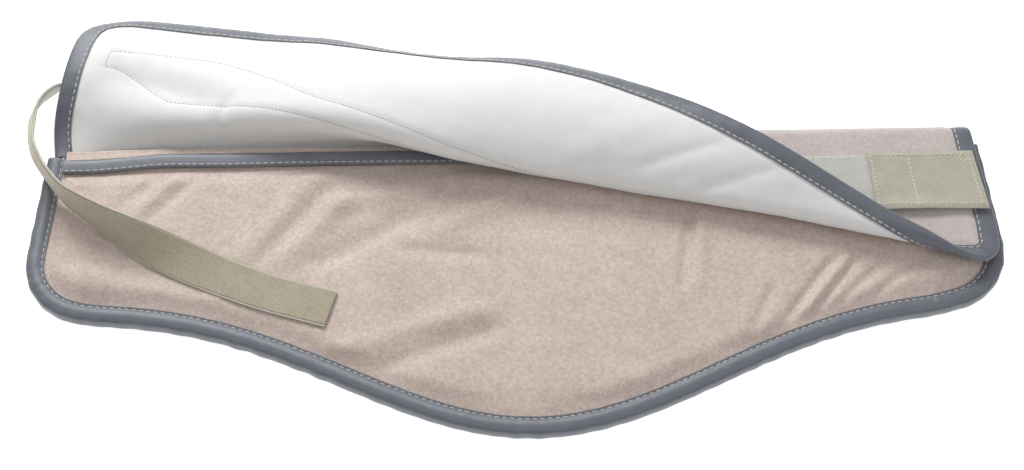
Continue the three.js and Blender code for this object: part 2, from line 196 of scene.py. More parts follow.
def shell(low: Array, high: Array) -> Surface:
    """A closed sheet between two grids of one shape, (rows, columns, 3), with a strip round the rim."""
    rows, columns = low.shape[:2]
    index = np.arange(rows * columns).reshape(rows, columns)
    rim = np.concatenate([index[:, 0], index[-1, 1:], index[-2::-1, -1], index[0, -2:0:-1]])
    ahead = np.roll(rim, -1)
    over = rows * columns
    sides = np.stack([rim, ahead, ahead + over, rim + over], axis=1)
    cells = quads(index)
    vertices = np.concatenate([low.reshape(-1, 3), high.reshape(-1, 3)])
    return vertices, [cells[:, ::-1], cells + over, sides]


def tube(rings: Array) -> Surface:
    """A closed profile carried along a path: rings is (stations, profile points, 3), with a cap each end."""
    stations, points = rings.shape[:2]
    index = np.arange(stations * points).reshape(stations, points)
    sides = quads(np.concatenate([index, index[:, :1]], axis=1))
    return rings.reshape(-1, 3), [sides, index[:1], index[-1:, ::-1]]


def together(*surfaces: Surface) -> Surface:
    """Several surfaces as one, with their vertices numbered on."""
    vertices: list[Array] = []
    faces: list[Array] = []
    count = 0
    for points, cells in surfaces:
        vertices.append(points)
        faces += [cell + count for cell in cells]
        count += len(points)
    return np.concatenate(vertices), faces


def volume(vertices: Array, faces: list[Array]) -> float:
    """Signed volume: the sum over fan triangles of a · (b × c) / 6, positive if the faces point out."""
    total = 0.0
    for cells in faces:
        a = vertices[cells[:, 0]]
        for k in range(1, cells.shape[1] - 1):
            b, c = vertices[cells[:, k]], vertices[cells[:, k + 1]]
            total += float(np.einsum("ij,ij->", a, np.cross(b, c))) / 6.0
    return total


@dataclass(frozen=True)
class Place:
    """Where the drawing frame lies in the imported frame, in mm."""

    x: float
    y: float

    def frame(self, points: Array) -> Array:
        """Points of the drawing, in mm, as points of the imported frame, in metres."""
        return (np.asarray(points, float) + (self.x, self.y, 0.0)) * MM

    def mesh(
        self,
        name: str,
        surface: Surface,
        *materials: bpy.types.Material,
        uv: Array | None = None,
        dressed: Array | None = None,
        sharp: float = 50.0,
    ) -> bpy.types.Object:
        """Makes an object of a closed surface, with its faces turned outwards.

        Args:
            name: the piece's name.
            surface: vertices in mm in the drawing, and lists of faces of one size each.
            materials: the finishes, in slot order.
            uv: a place on the flat cloth for each vertex, in mm.
            dressed: the material slot of each face.
            sharp: edges that turn by more than this, in degrees, stay crisp.

        Returns:
            The new object, at the origin.
        """
        vertices, faces = surface
        if volume(vertices, faces) < 0.0:
            faces = [cells[:, ::-1] for cells in faces]
        corners = np.concatenate([cells.ravel() for cells in faces])
        sizes = np.concatenate([np.full(len(cells), cells.shape[1]) for cells in faces])
        mesh = bpy.data.meshes.new(name)
        mesh.vertices.add(len(vertices))
        mesh.vertices.foreach_set("co", self.frame(vertices).astype(np.float32).ravel())
        mesh.loops.add(len(corners))
        mesh.loops.foreach_set("vertex_index", corners.astype(np.int32))
        mesh.polygons.add(len(sizes))
        mesh.polygons.foreach_set("loop_start", (np.cumsum(sizes) - sizes).astype(np.int32))
        for material in materials:
            mesh.materials.append(material)
        if dressed is not None:
            mesh.polygons.foreach_set("material_index", dressed.astype(np.int32))
        if uv is not None:
            layer = mesh.uv_layers.new(name="cloth")
            layer.data.foreach_set("uv", (uv[corners] * MM).astype(np.float32).ravel())
        mesh.update(calc_edges=True)
        mesh.shade_smooth()
        mesh.set_sharp_from_angle(angle=np.radians(sharp))
        piece = bpy.data.objects.new(name, mesh)
        bpy.context.scene.collection.objects.link(piece)
        return piece


def settle(piece: bpy.types.Object, slot: str, *nodes: str, body: str = "root") -> bpy.types.Object:
    """Makes a piece ride on a body and stand for CAD nodes, which it hides."""
    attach(piece, body)
    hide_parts(*nodes)
    log.info("%s rides on %s", piece.name, body)
    return piece


@dataclass(frozen=True)
class Bend:
    """A joint that cloth crosses: its two bodies, and the points where the crossing starts and ends."""

    bodies: tuple[str, str]
    start: Spot
    end: Spot

    def settle(self, piece: bpy.types.Object, place: Place, slot: str, *nodes: str) -> bpy.types.Object:
        """Bakes a piece's transform into its mesh and hides the CAD nodes it stands for."""
        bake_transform(piece)
        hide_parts(*nodes)
        log.info("%s bends between %s and %s", piece.name, *self.bodies)
        return piece


# ---- Finishes ----


class Recipe:
    """A material in the making: its nodes, and the shader they lead to."""

    def __init__(self, name: str, **sockets: float | tuple) -> None:
        """Starts a material and sets the shader's own sockets, named with _ for a space."""
        self.material = bpy.data.materials.new(name)
        self.material.use_nodes = True
        self.tree = self.material.node_tree
        self.shader = self.tree.nodes["Principled BSDF"]
        for socket, value in sockets.items():
            self.shader.inputs[socket.replace("_", " ")].default_value = value
        self.place = self.add("ShaderNodeTexCoord")

    def add(self, kind: str, inputs: dict | None = None, **settings: object) -> bpy.types.Node:
        """Adds a node. An input that is a socket is linked, and any other value is set."""
        node = self.tree.nodes.new(kind)
        for setting, value in settings.items():
            setattr(node, setting, value)
        for socket, value in (inputs or {}).items():
            self.join(node.inputs[socket], value)
        return node

    def join(self, socket: bpy.types.NodeSocket, value: object) -> None:
        """Links a socket to another, or sets its value."""
        if isinstance(value, bpy.types.NodeSocket):
            self.tree.links.new(value, socket)
        else:
            socket.default_value = value

    def noise(self, size: float, detail: float = 3.0, stretch: tuple | None = None) -> bpy.types.NodeSocket:
        """Noise whose blotches are about that size in mm, perhaps stretched along the axes."""
        spot = self.place.outputs["Object"]
        if stretch:
            spot = self.add("ShaderNodeMapping", {"Vector": spot, "Scale": stretch}).outputs["Vector"]
        inputs = {"Vector": spot, "Scale": 1.0 / (size * MM), "Detail": detail, "Roughness": 0.6}
        return self.add("ShaderNodeTexNoise", inputs).outputs["Fac"]

    def maths(self, operation: str, a: object, b: object) -> bpy.types.NodeSocket:
        """One sum of two numbers."""
        return self.add("ShaderNodeMath", {0: a, 1: b}, operation=operation).outputs[0]

    def mix(self, parts: dict) -> bpy.types.NodeSocket:
        """The sum of sockets, each times its share."""
        total = None
        for socket, share in parts.items():
            part = self.maths("MULTIPLY", socket, share)
            total = part if total is None else self.maths("ADD", total, part)
        return total

    def colour(
        self, share: bpy.types.NodeSocket, dark: Colour, light: Colour, low: float = 0.3, high: float = 0.7
    ) -> None:
        """Leads to the base colour: dark where the share is at low, light where it is at high."""
        ramp = self.add("ShaderNodeValToRGB", {"Fac": share})
        for element, position, colour in zip(ramp.color_ramp.elements, (low, high), (dark, light)):
            element.position = position
            element.color = (*colour, 1.0)
        self.join(self.shader.inputs["Base Color"], ramp.outputs["Color"])

    def bump(self, height: bpy.types.NodeSocket, depth: float, strength: float = 1.0) -> None:
        """Leads a height to the shader's normal, with that depth in mm."""
        node = self.add("ShaderNodeBump", {"Height": height, "Distance": depth * MM, "Strength": strength})
        self.join(self.shader.inputs["Normal"], node.outputs["Normal"])


@dataclass(frozen=True)
class Pile:
    """Brushed or looped cloth: clumps of fibre on a softer mottling."""

    light: Colour
    dark: Colour
    clump: float = 2.4
    fibre: float = 0.7
    mottling: float = 22.0
    depth: float = 0.5
    sheen: float = 0.35

    def make(self, name: str) -> bpy.types.Material:
        """Returns the material."""
        recipe = Recipe(name, Roughness=0.95, Sheen_Weight=self.sheen, Sheen_Roughness=0.6)
        recipe.shader.inputs["Specular IOR Level"].default_value = 0.1
        clump, fibre = recipe.noise(self.clump, 4.0), recipe.noise(self.fibre, 2.0)
        blotch = recipe.noise(self.mottling, 3.0, stretch=(1.0, 0.7, 1.0))
        share = recipe.mix({clump: 0.5, fibre: 0.3, blotch: 0.2})
        recipe.colour(share, self.dark, self.light, 0.38, 0.62)
        recipe.bump(recipe.mix({clump: 0.6, fibre: 0.4}), self.depth)
        return recipe.material


class Grain(Enum):
    """Which way the lines of a weave run on the flat cloth."""

    ACROSS = "X"
    TWILL = "DIAGONAL"


@dataclass(frozen=True)
class Weave:
    """Woven cloth or tape: fine lines at one pitch, read on the flat cloth, and slight streaks."""

    light: Colour
    dark: Colour
    grain: Grain
    pitch: float = 0.9
    roughness: float = 0.8
    depth: float = 0.08
    sheen: float = 0.2
    streak: float = 9.0
    lines: float = 0.35

    def make(self, name: str) -> bpy.types.Material:
        """Returns the material.

        A wave repeats every 2π / 20 of its scaled distance, or every 2π / 10 on a slant.
        """
        recipe = Recipe(name, Roughness=self.roughness, Sheen_Weight=self.sheen, Sheen_Roughness=0.4)
        period = 2.0 * np.pi / (10.0 if self.grain is Grain.TWILL else 20.0)
        inputs = {"Vector": recipe.place.outputs["UV"], "Scale": period / (self.pitch * MM)}
        wave = recipe.add("ShaderNodeTexWave", inputs, bands_direction=self.grain.value).outputs["Fac"]
        streak, fine = recipe.noise(self.streak, 3.0), recipe.noise(1.1, 2.0)
        share = recipe.mix({wave: self.lines, streak: 0.9 - self.lines, fine: 0.1})
        recipe.colour(share, self.dark, self.light, 0.25, 0.75)
        recipe.bump(recipe.mix({wave: 0.7, fine: 0.3}), self.depth)
        return recipe.material


@dataclass(frozen=True)
class Metal:
    """Bright metal with fine rolling marks."""

    light: Colour
    dark: Colour
    roughness: float

    def make(self, name: str) -> bpy.types.Material:
        """Returns the material."""
        recipe = Recipe(name, Metallic=1.0, Roughness=self.roughness)
        marks = recipe.noise(2.0, 3.0, stretch=(0.05, 1.0, 1.0))
        recipe.colour(marks, self.dark, self.light)
        recipe.bump(marks, 0.02)
        return recipe.material


@dataclass(frozen=True)
class Moulded:
    """Moulded plastic or printed film with a fine grain."""

    light: Colour
    dark: Colour
    roughness: float = 0.5
    grain: float = 0.8

    def make(self, name: str) -> bpy.types.Material:
        """Returns the material."""
        recipe = Recipe(name, Roughness=self.roughness)
        grain = recipe.noise(self.grain, 4.0)
        recipe.colour(grain, self.dark, self.light)
        recipe.bump(grain, 0.03)
        return recipe.material


FINISHES: dict[str, Pile | Weave | Metal | Moulded] = {
    "fleece": Pile((0.64, 0.54, 0.485), (0.46, 0.365, 0.315)),
    "flap_fleece": Pile((0.57, 0.515, 0.495), (0.45, 0.395, 0.375)),
    "lining": Weave((0.77, 0.765, 0.755), (0.71, 0.705, 0.695), Grain.TWILL, lines=0.2),
    "binding_tape": Weave(
        (0.155, 0.168, 0.195), (0.1, 0.11, 0.132), Grain.ACROSS, pitch=0.5, roughness=0.42, depth=0.05
    ),
    "mouth_tape": Weave(
        (0.185, 0.198, 0.225), (0.13, 0.14, 0.165), Grain.ACROSS, pitch=0.5, roughness=0.4, depth=0.05
    ),
    "loop_tape": Pile((0.54, 0.545, 0.51), (0.43, 0.435, 0.395), clump=1.2, fibre=0.5, mottling=14.0),
    "hook_tape": Weave(
        (0.47, 0.445, 0.37),
        (0.37, 0.35, 0.275),
        Grain.ACROSS,
        pitch=1.3,
        depth=0.2,
        roughness=0.7,
        lines=0.25,
    ),
    "velour": Pile((0.43, 0.39, 0.295), (0.32, 0.28, 0.2), clump=1.3, fibre=0.5, mottling=12.0),
    "selvedge": Weave((0.62, 0.59, 0.5), (0.42, 0.39, 0.31), Grain.ACROSS, pitch=1.2, depth=0.3, lines=0.6),
    "thread": Moulded((0.62, 0.6, 0.57), (0.45, 0.43, 0.41), roughness=0.7, grain=0.4),
    "beige_thread": Moulded((0.78, 0.68, 0.64), (0.62, 0.51, 0.47), roughness=0.8, grain=0.4),
    "khaki_thread": Moulded((0.78, 0.76, 0.67), (0.62, 0.59, 0.5), roughness=0.7, grain=0.4),
    "lining_thread": Moulded((0.42, 0.41, 0.39), (0.33, 0.32, 0.3), roughness=0.8, grain=0.4),
    "felt": Pile((0.82, 0.8, 0.77), (0.7, 0.68, 0.64), clump=3.0, fibre=0.9, depth=0.3),
    "foil": Metal((0.82, 0.83, 0.85), (0.66, 0.67, 0.7), 0.25),
    "heating_film": Moulded((0.04, 0.04, 0.045), (0.02, 0.02, 0.024), 0.45, 1.5),
    "copper": Metal((0.8, 0.46, 0.26), (0.62, 0.33, 0.17), 0.3),
    "cutout_body": Moulded((0.82, 0.81, 0.77), (0.72, 0.71, 0.67), 0.4),
    "inlet_plastic": Moulded((0.04, 0.042, 0.046), (0.025, 0.026, 0.03), 0.5),
    "inlet_brass": Metal((0.8, 0.62, 0.3), (0.66, 0.5, 0.22), 0.25),
    "disc_plastic": Moulded((0.55, 0.55, 0.55), (0.45, 0.45, 0.45), 0.5),
}


class Cupboard:
    """The finishes, each made the first time it is asked for."""

    def __init__(self) -> None:
        """Starts empty."""
        self.made: dict[str, bpy.types.Material] = {}

    def get(self, name: str) -> bpy.types.Material:
        """The material of that name."""
        if name not in self.made:
            self.made[name] = FINISHES[name].make(name)
        return self.made[name]


# ---- Stitches ----


@dataclass(frozen=True)
class Stitching:
    """A row of thread stitches, each a short rounded body that dips into the cloth at both ends."""

    pitch: float = 4.3
    length: float = 3.1
    width: float = 0.8
    height: float = 0.35
    slant: float = 0.0

    def row(self, path: Array, normals: Array) -> Surface:
        """Stitches along a path on a cloth: rings of six points at −1, −½, ½ and 1 of half a length.

        Args:
            path: points on the cloth's face, in mm.
            normals: the face's direction at each.

        Returns:
            All the stitches as one surface.
        """
        centre, normal = walk(path, self.pitch, normals)
        ahead = unit(np.gradient(centre, axis=0)) if len(centre) > 1 else unit(path[-1:] - path[:1])
        normal = unit(normal)
        across = unit(np.cross(normal, ahead))
        turn = np.radians(self.slant)
        ahead, across = (
            ahead * np.cos(turn) + across * np.sin(turn),
            across * np.cos(turn) - ahead * np.sin(turn),
        )
        along = np.array([-1.0, -0.5, 0.5, 1.0])
        size = np.array([0.35, 1.0, 1.0, 0.35])
        sink = np.array([-0.4, 0.0, 0.0, -0.4]) * self.height
        angle = np.arange(6) * np.pi / 3.0
        reach = np.broadcast_to(along[:, None] * self.length / 2.0, (4, 6))
        breadth = size[:, None] * np.cos(angle) * self.width / 2.0
        rise = size[:, None] * np.sin(angle) * self.height + sink[:, None]
        frame = np.stack([reach, breadth, rise], axis=-1).reshape(24, 3)
        axes = np.stack([ahead, across, normal], axis=1)
        vertices = centre[:, None, :] + np.einsum("pk,nkc->npc", frame, axes)
        one = tube(frame.reshape(4, 6, 3))[1]
        first = np.arange(len(centre)) * 24
        faces = [(cells[None] + first[:, None, None]).reshape(-1, cells.shape[1]) for cells in one]
        return vertices.reshape(-1, 3), faces


# ---- The pattern of the pocket ----


@dataclass(frozen=True)
class Pattern:
    """The outline of the pocket: nearly straight ends, round corners and a lobed lower edge."""

    half_at_fold: float = 284.0
    half: float = 290.0
    end_depth: float = 114.0
    lobe_depth: float = 76.0
    lobe_x: float = 9.0
    lobe_reach: float = 330.0
    corner: float = 40.0
    gap: float = 0.3
    smoothings: int = 40

    @property
    def corner_x(self) -> float:
        """How far out the middle of a corner's circle is."""
        return self.half - self.corner

    @property
    def corner_y(self) -> float:
        """How far down the middle of a corner's circle is."""
        return self.corner - self.end_depth

    def lower_edge(self, x: Array) -> Array:
        """The lobed edge: the square of a raised cosine below the ends."""
        share = np.clip(np.abs(x - self.lobe_x) / self.lobe_reach, 0.0, 1.0)
        return -self.end_depth - self.lobe_depth * ((1.0 + np.cos(np.pi * share)) / 2.0) ** 2

    def lower_slope(self, x: Array) -> Array:
        """Slope of the lobed edge."""
        return self.lower_edge(x + 0.5) - self.lower_edge(x - 0.5)

    def side(self, y: Array) -> Array:
        """Half the length at y: it widens evenly from the fold down to the corners."""
        return self.half_at_fold + (self.half - self.half_at_fold) * np.clip(y / self.corner_y, 0.0, 1.0)

    def outline(self, pitch: float) -> tuple[Array, Array]:
        """The outline from the fold at the left end round to the fold at the right end.

        Args:
            pitch: spacing of the points, in mm.

        Returns:
            Points (n, 2) and the inward direction at each.
        """
        drop = np.linspace(-self.gap, self.corner_y, 60)
        angle = np.linspace(0.0, np.pi / 2.0, 40)[1:]
        out, down = self.corner * np.cos(angle), self.corner * np.sin(angle)
        arc = np.stack([self.corner_x + out, self.corner_y - down], axis=1)
        x = np.linspace(-self.corner_x, self.corner_x, 500)[1:-1]
        end = np.concatenate([np.stack([self.side(drop), drop], axis=1), arc])
        left, right = end * (-1.0, 1.0), end[::-1]
        path = walk(np.concatenate([left, np.stack([x, self.lower_edge(x)], axis=1), right]), pitch)[0]
        for _ in range(self.smoothings):
            path[1:-1] = (path[:-2] + 2.0 * path[1:-1] + path[2:]) / 4.0
        ahead = unit(np.gradient(path, axis=0))
        return path, np.stack([-ahead[:, 1], ahead[:, 0]], axis=1)

    def grid(self, inset: float, top: float, across: int, down: int) -> tuple[Array, Array, Array]:
        """The panel drawn in by inset, as a grid of columns that run from the lower edge up to y = top.

        Args:
            inset: distance inside the outline.
            top: y of the straight upper edge.
            across: number of columns.
            down: number of points in a column.

        Returns:
            x, y and the distance to the nearest edge, each (across, down).
        """
        reach, radius = self.half - inset, self.corner - inset
        column = np.linspace(-reach, reach, across)
        past = np.clip((np.abs(column) - self.corner_x) / radius, 0.0, 1.0)
        lobe = self.lower_edge(column) + inset * np.hypot(1.0, self.lower_slope(column))
        low = np.where(past > 0.0, self.corner_y - radius * np.sqrt(1.0 - past**2), lobe)
        y = low[:, None] + (top - low[:, None]) * np.linspace(0.0, 1.0, down)
        x = column[:, None] * (self.side(y) - inset) / reach
        below = (y - low[:, None]) / np.hypot(1.0, self.lower_slope(column))[:, None]
        beyond = np.hypot(np.maximum(np.abs(x) - self.corner_x, 0.0), np.minimum(y - self.corner_y, 0.0))
        round_edge = np.where(np.abs(x) > self.corner_x, radius - beyond, below)
        edges = np.stack([top - y, self.side(y) - inset - np.abs(x), np.maximum(round_edge, 0.0)])
        return x, y, edges.min(axis=0)


@dataclass(frozen=True)
class Tape:
    """The folded tape of an edge: its section as distances from the edge inwards and heights.

    The tape is padded and crowned, dips at its stitch line and ends in a thin lip on each face.
    """

    width: float = 11.2
    stitch: float = 9.7
    thickness: float = 0.55

    def section(self, low: float, high: float, crown: float) -> tuple[Array, Array]:
        """The closed section, from the upper lip round the edge to the lower lip and back inside.

        Args:
            low: height of the lower lip's face.
            high: height of the upper lip's face.
            crown: how far the tape swells past the lips.

        Returns:
            Distances inwards and heights of the section's points.
        """
        middle = (low + high) / 2.0
        half = (high - low) / 2.0
        at_stitch = [self.stitch + 0.5, self.stitch, self.stitch - 0.8]
        inward = np.array([self.width, 10.7, *at_stitch, 7.2, 5.5, 3.9, 2.5])
        face = np.array([0.0, 0.12, -0.05, -0.3, 0.1, 0.75, 1.0, 0.95, 0.62]) * crown
        angle = np.linspace(np.pi / 2.0, -np.pi / 2.0, 9)[1:-1]
        nose = half + 0.35 * crown
        upper = np.stack([inward, middle + half + face], axis=1)
        edge = np.stack([1.6 - 1.6 * np.cos(angle) ** 0.8, middle + nose * np.sin(angle)], axis=1)
        lower = np.stack([inward, middle - half - face], axis=1)[::-1]
        wall = self.thickness
        inner_top = [(self.width, high - wall), (4.0, high - wall), (1.6, middle + half * 0.6)]
        inner_low = [(1.6, middle - half * 0.6), (4.0, low + wall), (self.width, low + wall)]
        section = np.concatenate([upper, edge, lower, inner_low[::-1], inner_top[::-1]])
        return section[:, 0], section[:, 1]


# ---- The pocket ----


@dataclass
class Pocket:
    """The lower half of the wrap: two panels with their linings, the edge tape and the mouth."""

    place: Place
    cupboard: Cupboard
    pattern: Pattern = field(default_factory=Pattern)
    tape: Tape = field(default_factory=Tape)
    edge_pitch: float = 1.25
    edge_low: float = 0.6
    edge_high: float = 8.4
    edge_middle: float = 4.4
    off_floor: float = 0.02
    under_tape: float = 8.6
    mouth_front: float = -11.6
    mouth_back: float = -2.5
    mouth_low: float = 7.5
    mouth_high: float = 11.0
    mouth_end: float = 273.2
    mouth_stitch: float = 2.6
    facing_height: float = 9.4
    facing_front: float = -2.3
    facing_back: float = 1.0
    fleece_edge: float = 7.1
    fleece_middle: float = 10.3
    fold_strength: float = 1.35
    strap_rest: Crease = Crease((-262.0, -42.0), (-108.0, -110.0), 18.0, 0.9)
    folds: tuple[Crease, ...] = (
        Crease((-238.0, -40.0), (-211.0, -16.0), 4.0, -1.2),
        Crease((-230.0, -50.0), (-204.0, -20.0), 4.5, 1.4),
        Crease((-220.0, -50.0), (-194.0, -22.0), 4.0, -1.1),
        Crease((-166.0, -84.0), (-122.0, -22.0), 8.0, 2.3),
        Crease((-140.0, -82.0), (-104.0, -40.0), 7.0, 1.7),
        Crease((-152.0, -80.0), (-116.0, -34.0), 4.5, -0.9),
        Crease((-112.0, -78.0), (-68.0, -52.0), 7.0, -2.0),
        Crease((-104.0, -40.0), (-60.0, -30.0), 7.0, 1.4),
        Crease((-62.0, -72.0), (-26.0, -75.0), 4.5, -1.2),
        Crease((-45.0, -58.0), (-4.0, -36.0), 6.5, 1.1),
        Crease((-108.0, -138.0), (-26.0, -114.0), 7.0, 2.0),
        Crease((-74.0, -146.0), (-20.0, -127.0), 6.0, -1.6),
        Crease((-47.0, -14.0), (-48.0, -33.0), 2.6, -1.4),
        Crease((104.0, -48.0), (98.0, -94.0), 3.2, -1.7),
        Crease((112.0, -50.0), (107.0, -96.0), 4.0, 1.2),
        Crease((139.0, -122.0), (148.0, -104.0), 3.6, -1.2),
        Crease((160.0, -116.0), (184.0, -86.0), 3.6, -2.0),
        Crease((169.0, -114.0), (192.0, -86.0), 3.8, 1.6),
        Crease((178.0, -110.0), (199.0, -84.0), 3.2, -1.6),
        Crease((194.0, -105.0), (215.0, -86.0), 3.2, -1.4),
        Crease((212.0, -104.0), (230.0, -89.0), 3.0, -1.2),
        Crease((-24.0, -168.0), (46.0, -171.0), 6.0, -0.9),
        Crease((-250.0, -86.0), (-214.0, -96.0), 7.0, 1.1),
    )

    def front_height(self, x: Array, y: Array, depth: Array) -> Array:
        """Height of the front fleece's face.

        It rises smoothly from under the tape, with long soft waves, the folds, and short gathers that fade
        away from the edge. It is pressed flat under the strap.
        """
        free = smooth((-45.0 - y) / 30.0)
        rise = smooth((depth - 1.2) / 13.0)
        body = (self.fleece_middle - self.fleece_edge + 0.7 * free) * rise
        waves = (0.22 + 0.28 * free) * ripple(x, y, 62.0, 11) + 0.12 * ripple(x, y, 21.0, 12)
        pressed = 1.0 - self.strap_rest.lift(x, y)
        folds = self.fold_strength * sum(fold.lift(x, y) for fold in self.folds)
        gathers = 0.35 * ripple(x, y * 0.35, 11.0, 13) * np.exp(-depth / 10.0) * smooth((depth - 2.0) / 6.0)
        return self.fleece_edge + body + rise * pressed * (waves + folds) + gathers

    def build(self) -> None:
        """Builds every piece of the pocket."""
        self.panels()
        self.edge()
        self.mouth()

    def panels(self) -> None:
        """The four cloth panels. A lower panel is flat, and an upper one follows the front's height."""
        x, y, depth = self.pattern.grid(self.under_tape, self.mouth_front + 0.7, 400, 118)
        top = self.front_height(x, y, depth)
        cut = np.stack([x, y], axis=-1).reshape(-1, 2)
        thick = 0.6 + 0.9 * (1.0 - np.exp(-depth / 5.0))
        levels = {
            "front_fleece": (top - thick, top, "fleece", "front_panel_fleece"),
            "front_lining": (top - thick - 0.7, top - thick - 0.25, "lining", "front_panel_lining"),
        }
        for name, (low, high, finish, node) in levels.items():
            self.panel(name, (x, y), (low, high), cut, finish, node)
        x, y, depth = self.pattern.grid(self.under_tape, -self.pattern.gap, 240, 70)
        cut = np.stack([x, y], axis=-1).reshape(-1, 2)
        lift = 0.75 * np.exp(-depth / 3.0)
        shallow = 0.08 * (1.0 + ripple(x, y, 40.0, 21)) * (1.0 - np.exp(-depth / 12.0))
        low = 0.08 + lift + shallow
        high = np.full_like(x, 1.65)
        self.panel("back_fleece", (x, y), (low, high), cut, "fleece", "back_panel_fleece")
        flat = np.full_like(x, 1.95)
        self.panel("back_lining", (x, y), (flat, flat + 0.5), cut, "lining", "back_panel_lining")

    def panel(self, name: str, plan: tuple, levels: tuple, cut: Array, finish: str, node: str) -> None:
        """One panel between two heights over a plan."""
        low, high = (np.stack([*plan, level], axis=-1) for level in levels)
        uv = np.concatenate([cut, cut])
        piece = self.place.mesh(name, shell(low, high), self.cupboard.get(finish), uv=uv)
        settle(piece, finish, node)

    def edge(self) -> None:
        """The tape round the ends and the lobe, with stitches on both faces.

        Its section is carried along the outline, with gathers that change its swell and its width a
        little, most at the corners.
        """
        path, inward = self.pattern.outline(self.edge_pitch)
        run = np.arange(len(path)) * self.edge_pitch
        distance, height = self.tape.section(self.edge_low, self.edge_high, 1.0)
        bent = np.linalg.norm(np.gradient(inward, axis=0), axis=1) * self.pattern.corner / self.edge_pitch
        short = (0.25 + 0.75 * smooth(bent)) * ripple(run, 0.0, 7.5, 31)
        swell = 1.0 + 0.035 * (short + 0.35 * ripple(run, 9.0, 26.0, 32))
        away = np.minimum(run, run[-1] - run)
        tuck = smooth(away / 5.0 + 0.35)[:, None]
        across = distance + 0.22 * ripple(run, 3.0, 14.0, 33)[:, None] * (1.0 - distance / 14.0)
        tall = self.edge_middle + (height - self.edge_middle) * swell[:, None] * tuck
        tall = np.maximum(tall, self.off_floor)
        plan = path[:, None, :] + inward[:, None, :] * across[..., None]
        rings = np.concatenate([plan, tall[..., None]], axis=-1)
        uv = self.tape_uv(run, distance)
        piece = self.place.mesh("edge_tape", tube(rings), self.cupboard.get("binding_tape"), uv=uv)
        settle(piece, "binding_tape", "edge_binding")
        from_stitch = np.abs(distance - self.tape.stitch)
        over = int(np.argmin(from_stitch + np.abs(height - 8.0)))
        under = int(np.argmin(from_stitch + np.abs(height - 0.9)))
        up = np.broadcast_to([0.0, 0.0, 1.0], (len(path), 3))
        stitching = Stitching()
        below = stitching.row(rings[:, under] + (0.0, 0.0, stitching.height), -up)
        rows = together(stitching.row(rings[:, over], up), below)
        thread = self.place.mesh("edge_stitches", rows, self.cupboard.get("thread"))
        settle(thread, "binding_tape")

    @staticmethod
    def tape_uv(run: Array, across: Array) -> Array:
        """Places on the flat tape: the running length, and the distance across."""
        grid = np.meshgrid(run, across, indexing="ij")
        return np.stack(grid, axis=-1).reshape(-1, 2)

    def mouth(self) -> None:
        """The straight tape of the mouth, its stitches, and the serged strip behind it.

        The section is an ellipse squared off by powers of its cosine and sine, dipped at the stitches.
        """
        x = np.linspace(-self.mouth_end, self.mouth_end, 280)
        angle = np.linspace(0.0, 2.0 * np.pi, 22)[:-1]
        shape = np.sign(np.cos(angle)) * np.abs(np.cos(angle)) ** 0.55
        tall = np.sign(np.sin(angle)) * np.abs(np.sin(angle)) ** 0.8
        middle_y = (self.mouth_front + self.mouth_back) / 2.0
        middle_z = (self.mouth_low + self.mouth_high) / 2.0
        half_y, half_z = self.mouth_back - middle_y, self.mouth_high - middle_z
        y = middle_y + half_y * shape + (0.3 * ripple(x, 0.0, 70.0, 41) - self.droop(x))[:, None]
        from_stitch = half_y * shape + self.mouth_stitch
        dip = 0.35 * np.exp(-((from_stitch / 0.8) ** 2)) * (tall > 0.0)
        z = middle_z + half_z * tall * (1.0 + 0.05 * ripple(x, 2.0, 16.0, 42)[:, None]) - dip
        rings = np.stack([np.broadcast_to(x[:, None], y.shape), y, z], axis=-1)
        uv = self.tape_uv(x, half_y * angle)
        piece = self.place.mesh("mouth_tape", tube(rings), self.cupboard.get("mouth_tape"), uv=uv)
        settle(piece, "binding_tape", "mouth_binding")
        line = rings[:, int(np.argmin(np.abs(from_stitch) - tall))]
        up = np.broadcast_to([0.0, 0.0, 1.0], line.shape)
        thread = self.place.mesh("mouth_stitches", Stitching().row(line, up), self.cupboard.get("thread"))
        settle(thread, "binding_tape")
        self.facing()

    @staticmethod
    def droop(x: Array) -> Array:
        """How far the mouth tape dips away from the fold towards its left end, in mm."""
        return 3.4 * smooth((-205.0 - x) / 60.0)

    def facing(self) -> None:
        """The serged strip: a narrow fleece sheet with slanted thread over its whole width."""
        x = np.linspace(1.0 - self.mouth_end, self.mouth_end - 1.0, 280)
        share = np.linspace(0.0, 1.0, 7)
        edge = self.facing_back + 0.35 * ripple(x, 0.0, 24.0, 51)
        front = (self.facing_front - self.droop(x))[:, None]
        y = front + (edge[:, None] - front) * share
        sag = 0.3 * ripple(x, 4.0, 30.0, 52)[:, None] - 0.9 * share**2
        grid = np.stack([np.broadcast_to(x[:, None], y.shape), y, self.facing_height + sag], axis=-1)
        low = grid - (0.0, 0.0, 0.8)
        cut = grid[..., :2].reshape(-1, 2)
        uv = np.concatenate([cut, cut])
        piece = self.place.mesh("mouth_facing_strip", shell(low, grid), self.cupboard.get("fleece"), uv=uv)
        settle(piece, "fleece", "mouth_facing")
        up = np.broadcast_to([0.0, -0.2, 1.0], (len(x), 3))
        over = Stitching(pitch=1.9, length=3.4, width=0.7, height=0.4, slant=68.0)
        thread = self.place.mesh("serging", over.row(grid[:, 4], up), self.cupboard.get("beige_thread"))
        settle(thread, "fleece")


# ---- The flap ----


@dataclass(frozen=True)
class Station:
    """How the flap's cloth runs above one place of the fold.

    The angles are in degrees and the lengths in mm: the angle turned at the fold, the angle once past the
    cuff's bend, the distance to the bend, the sideways share past it and the droop past it.
    """

    x: float
    rise: float
    lean: float
    bend: float
    drift: float
    droop: float


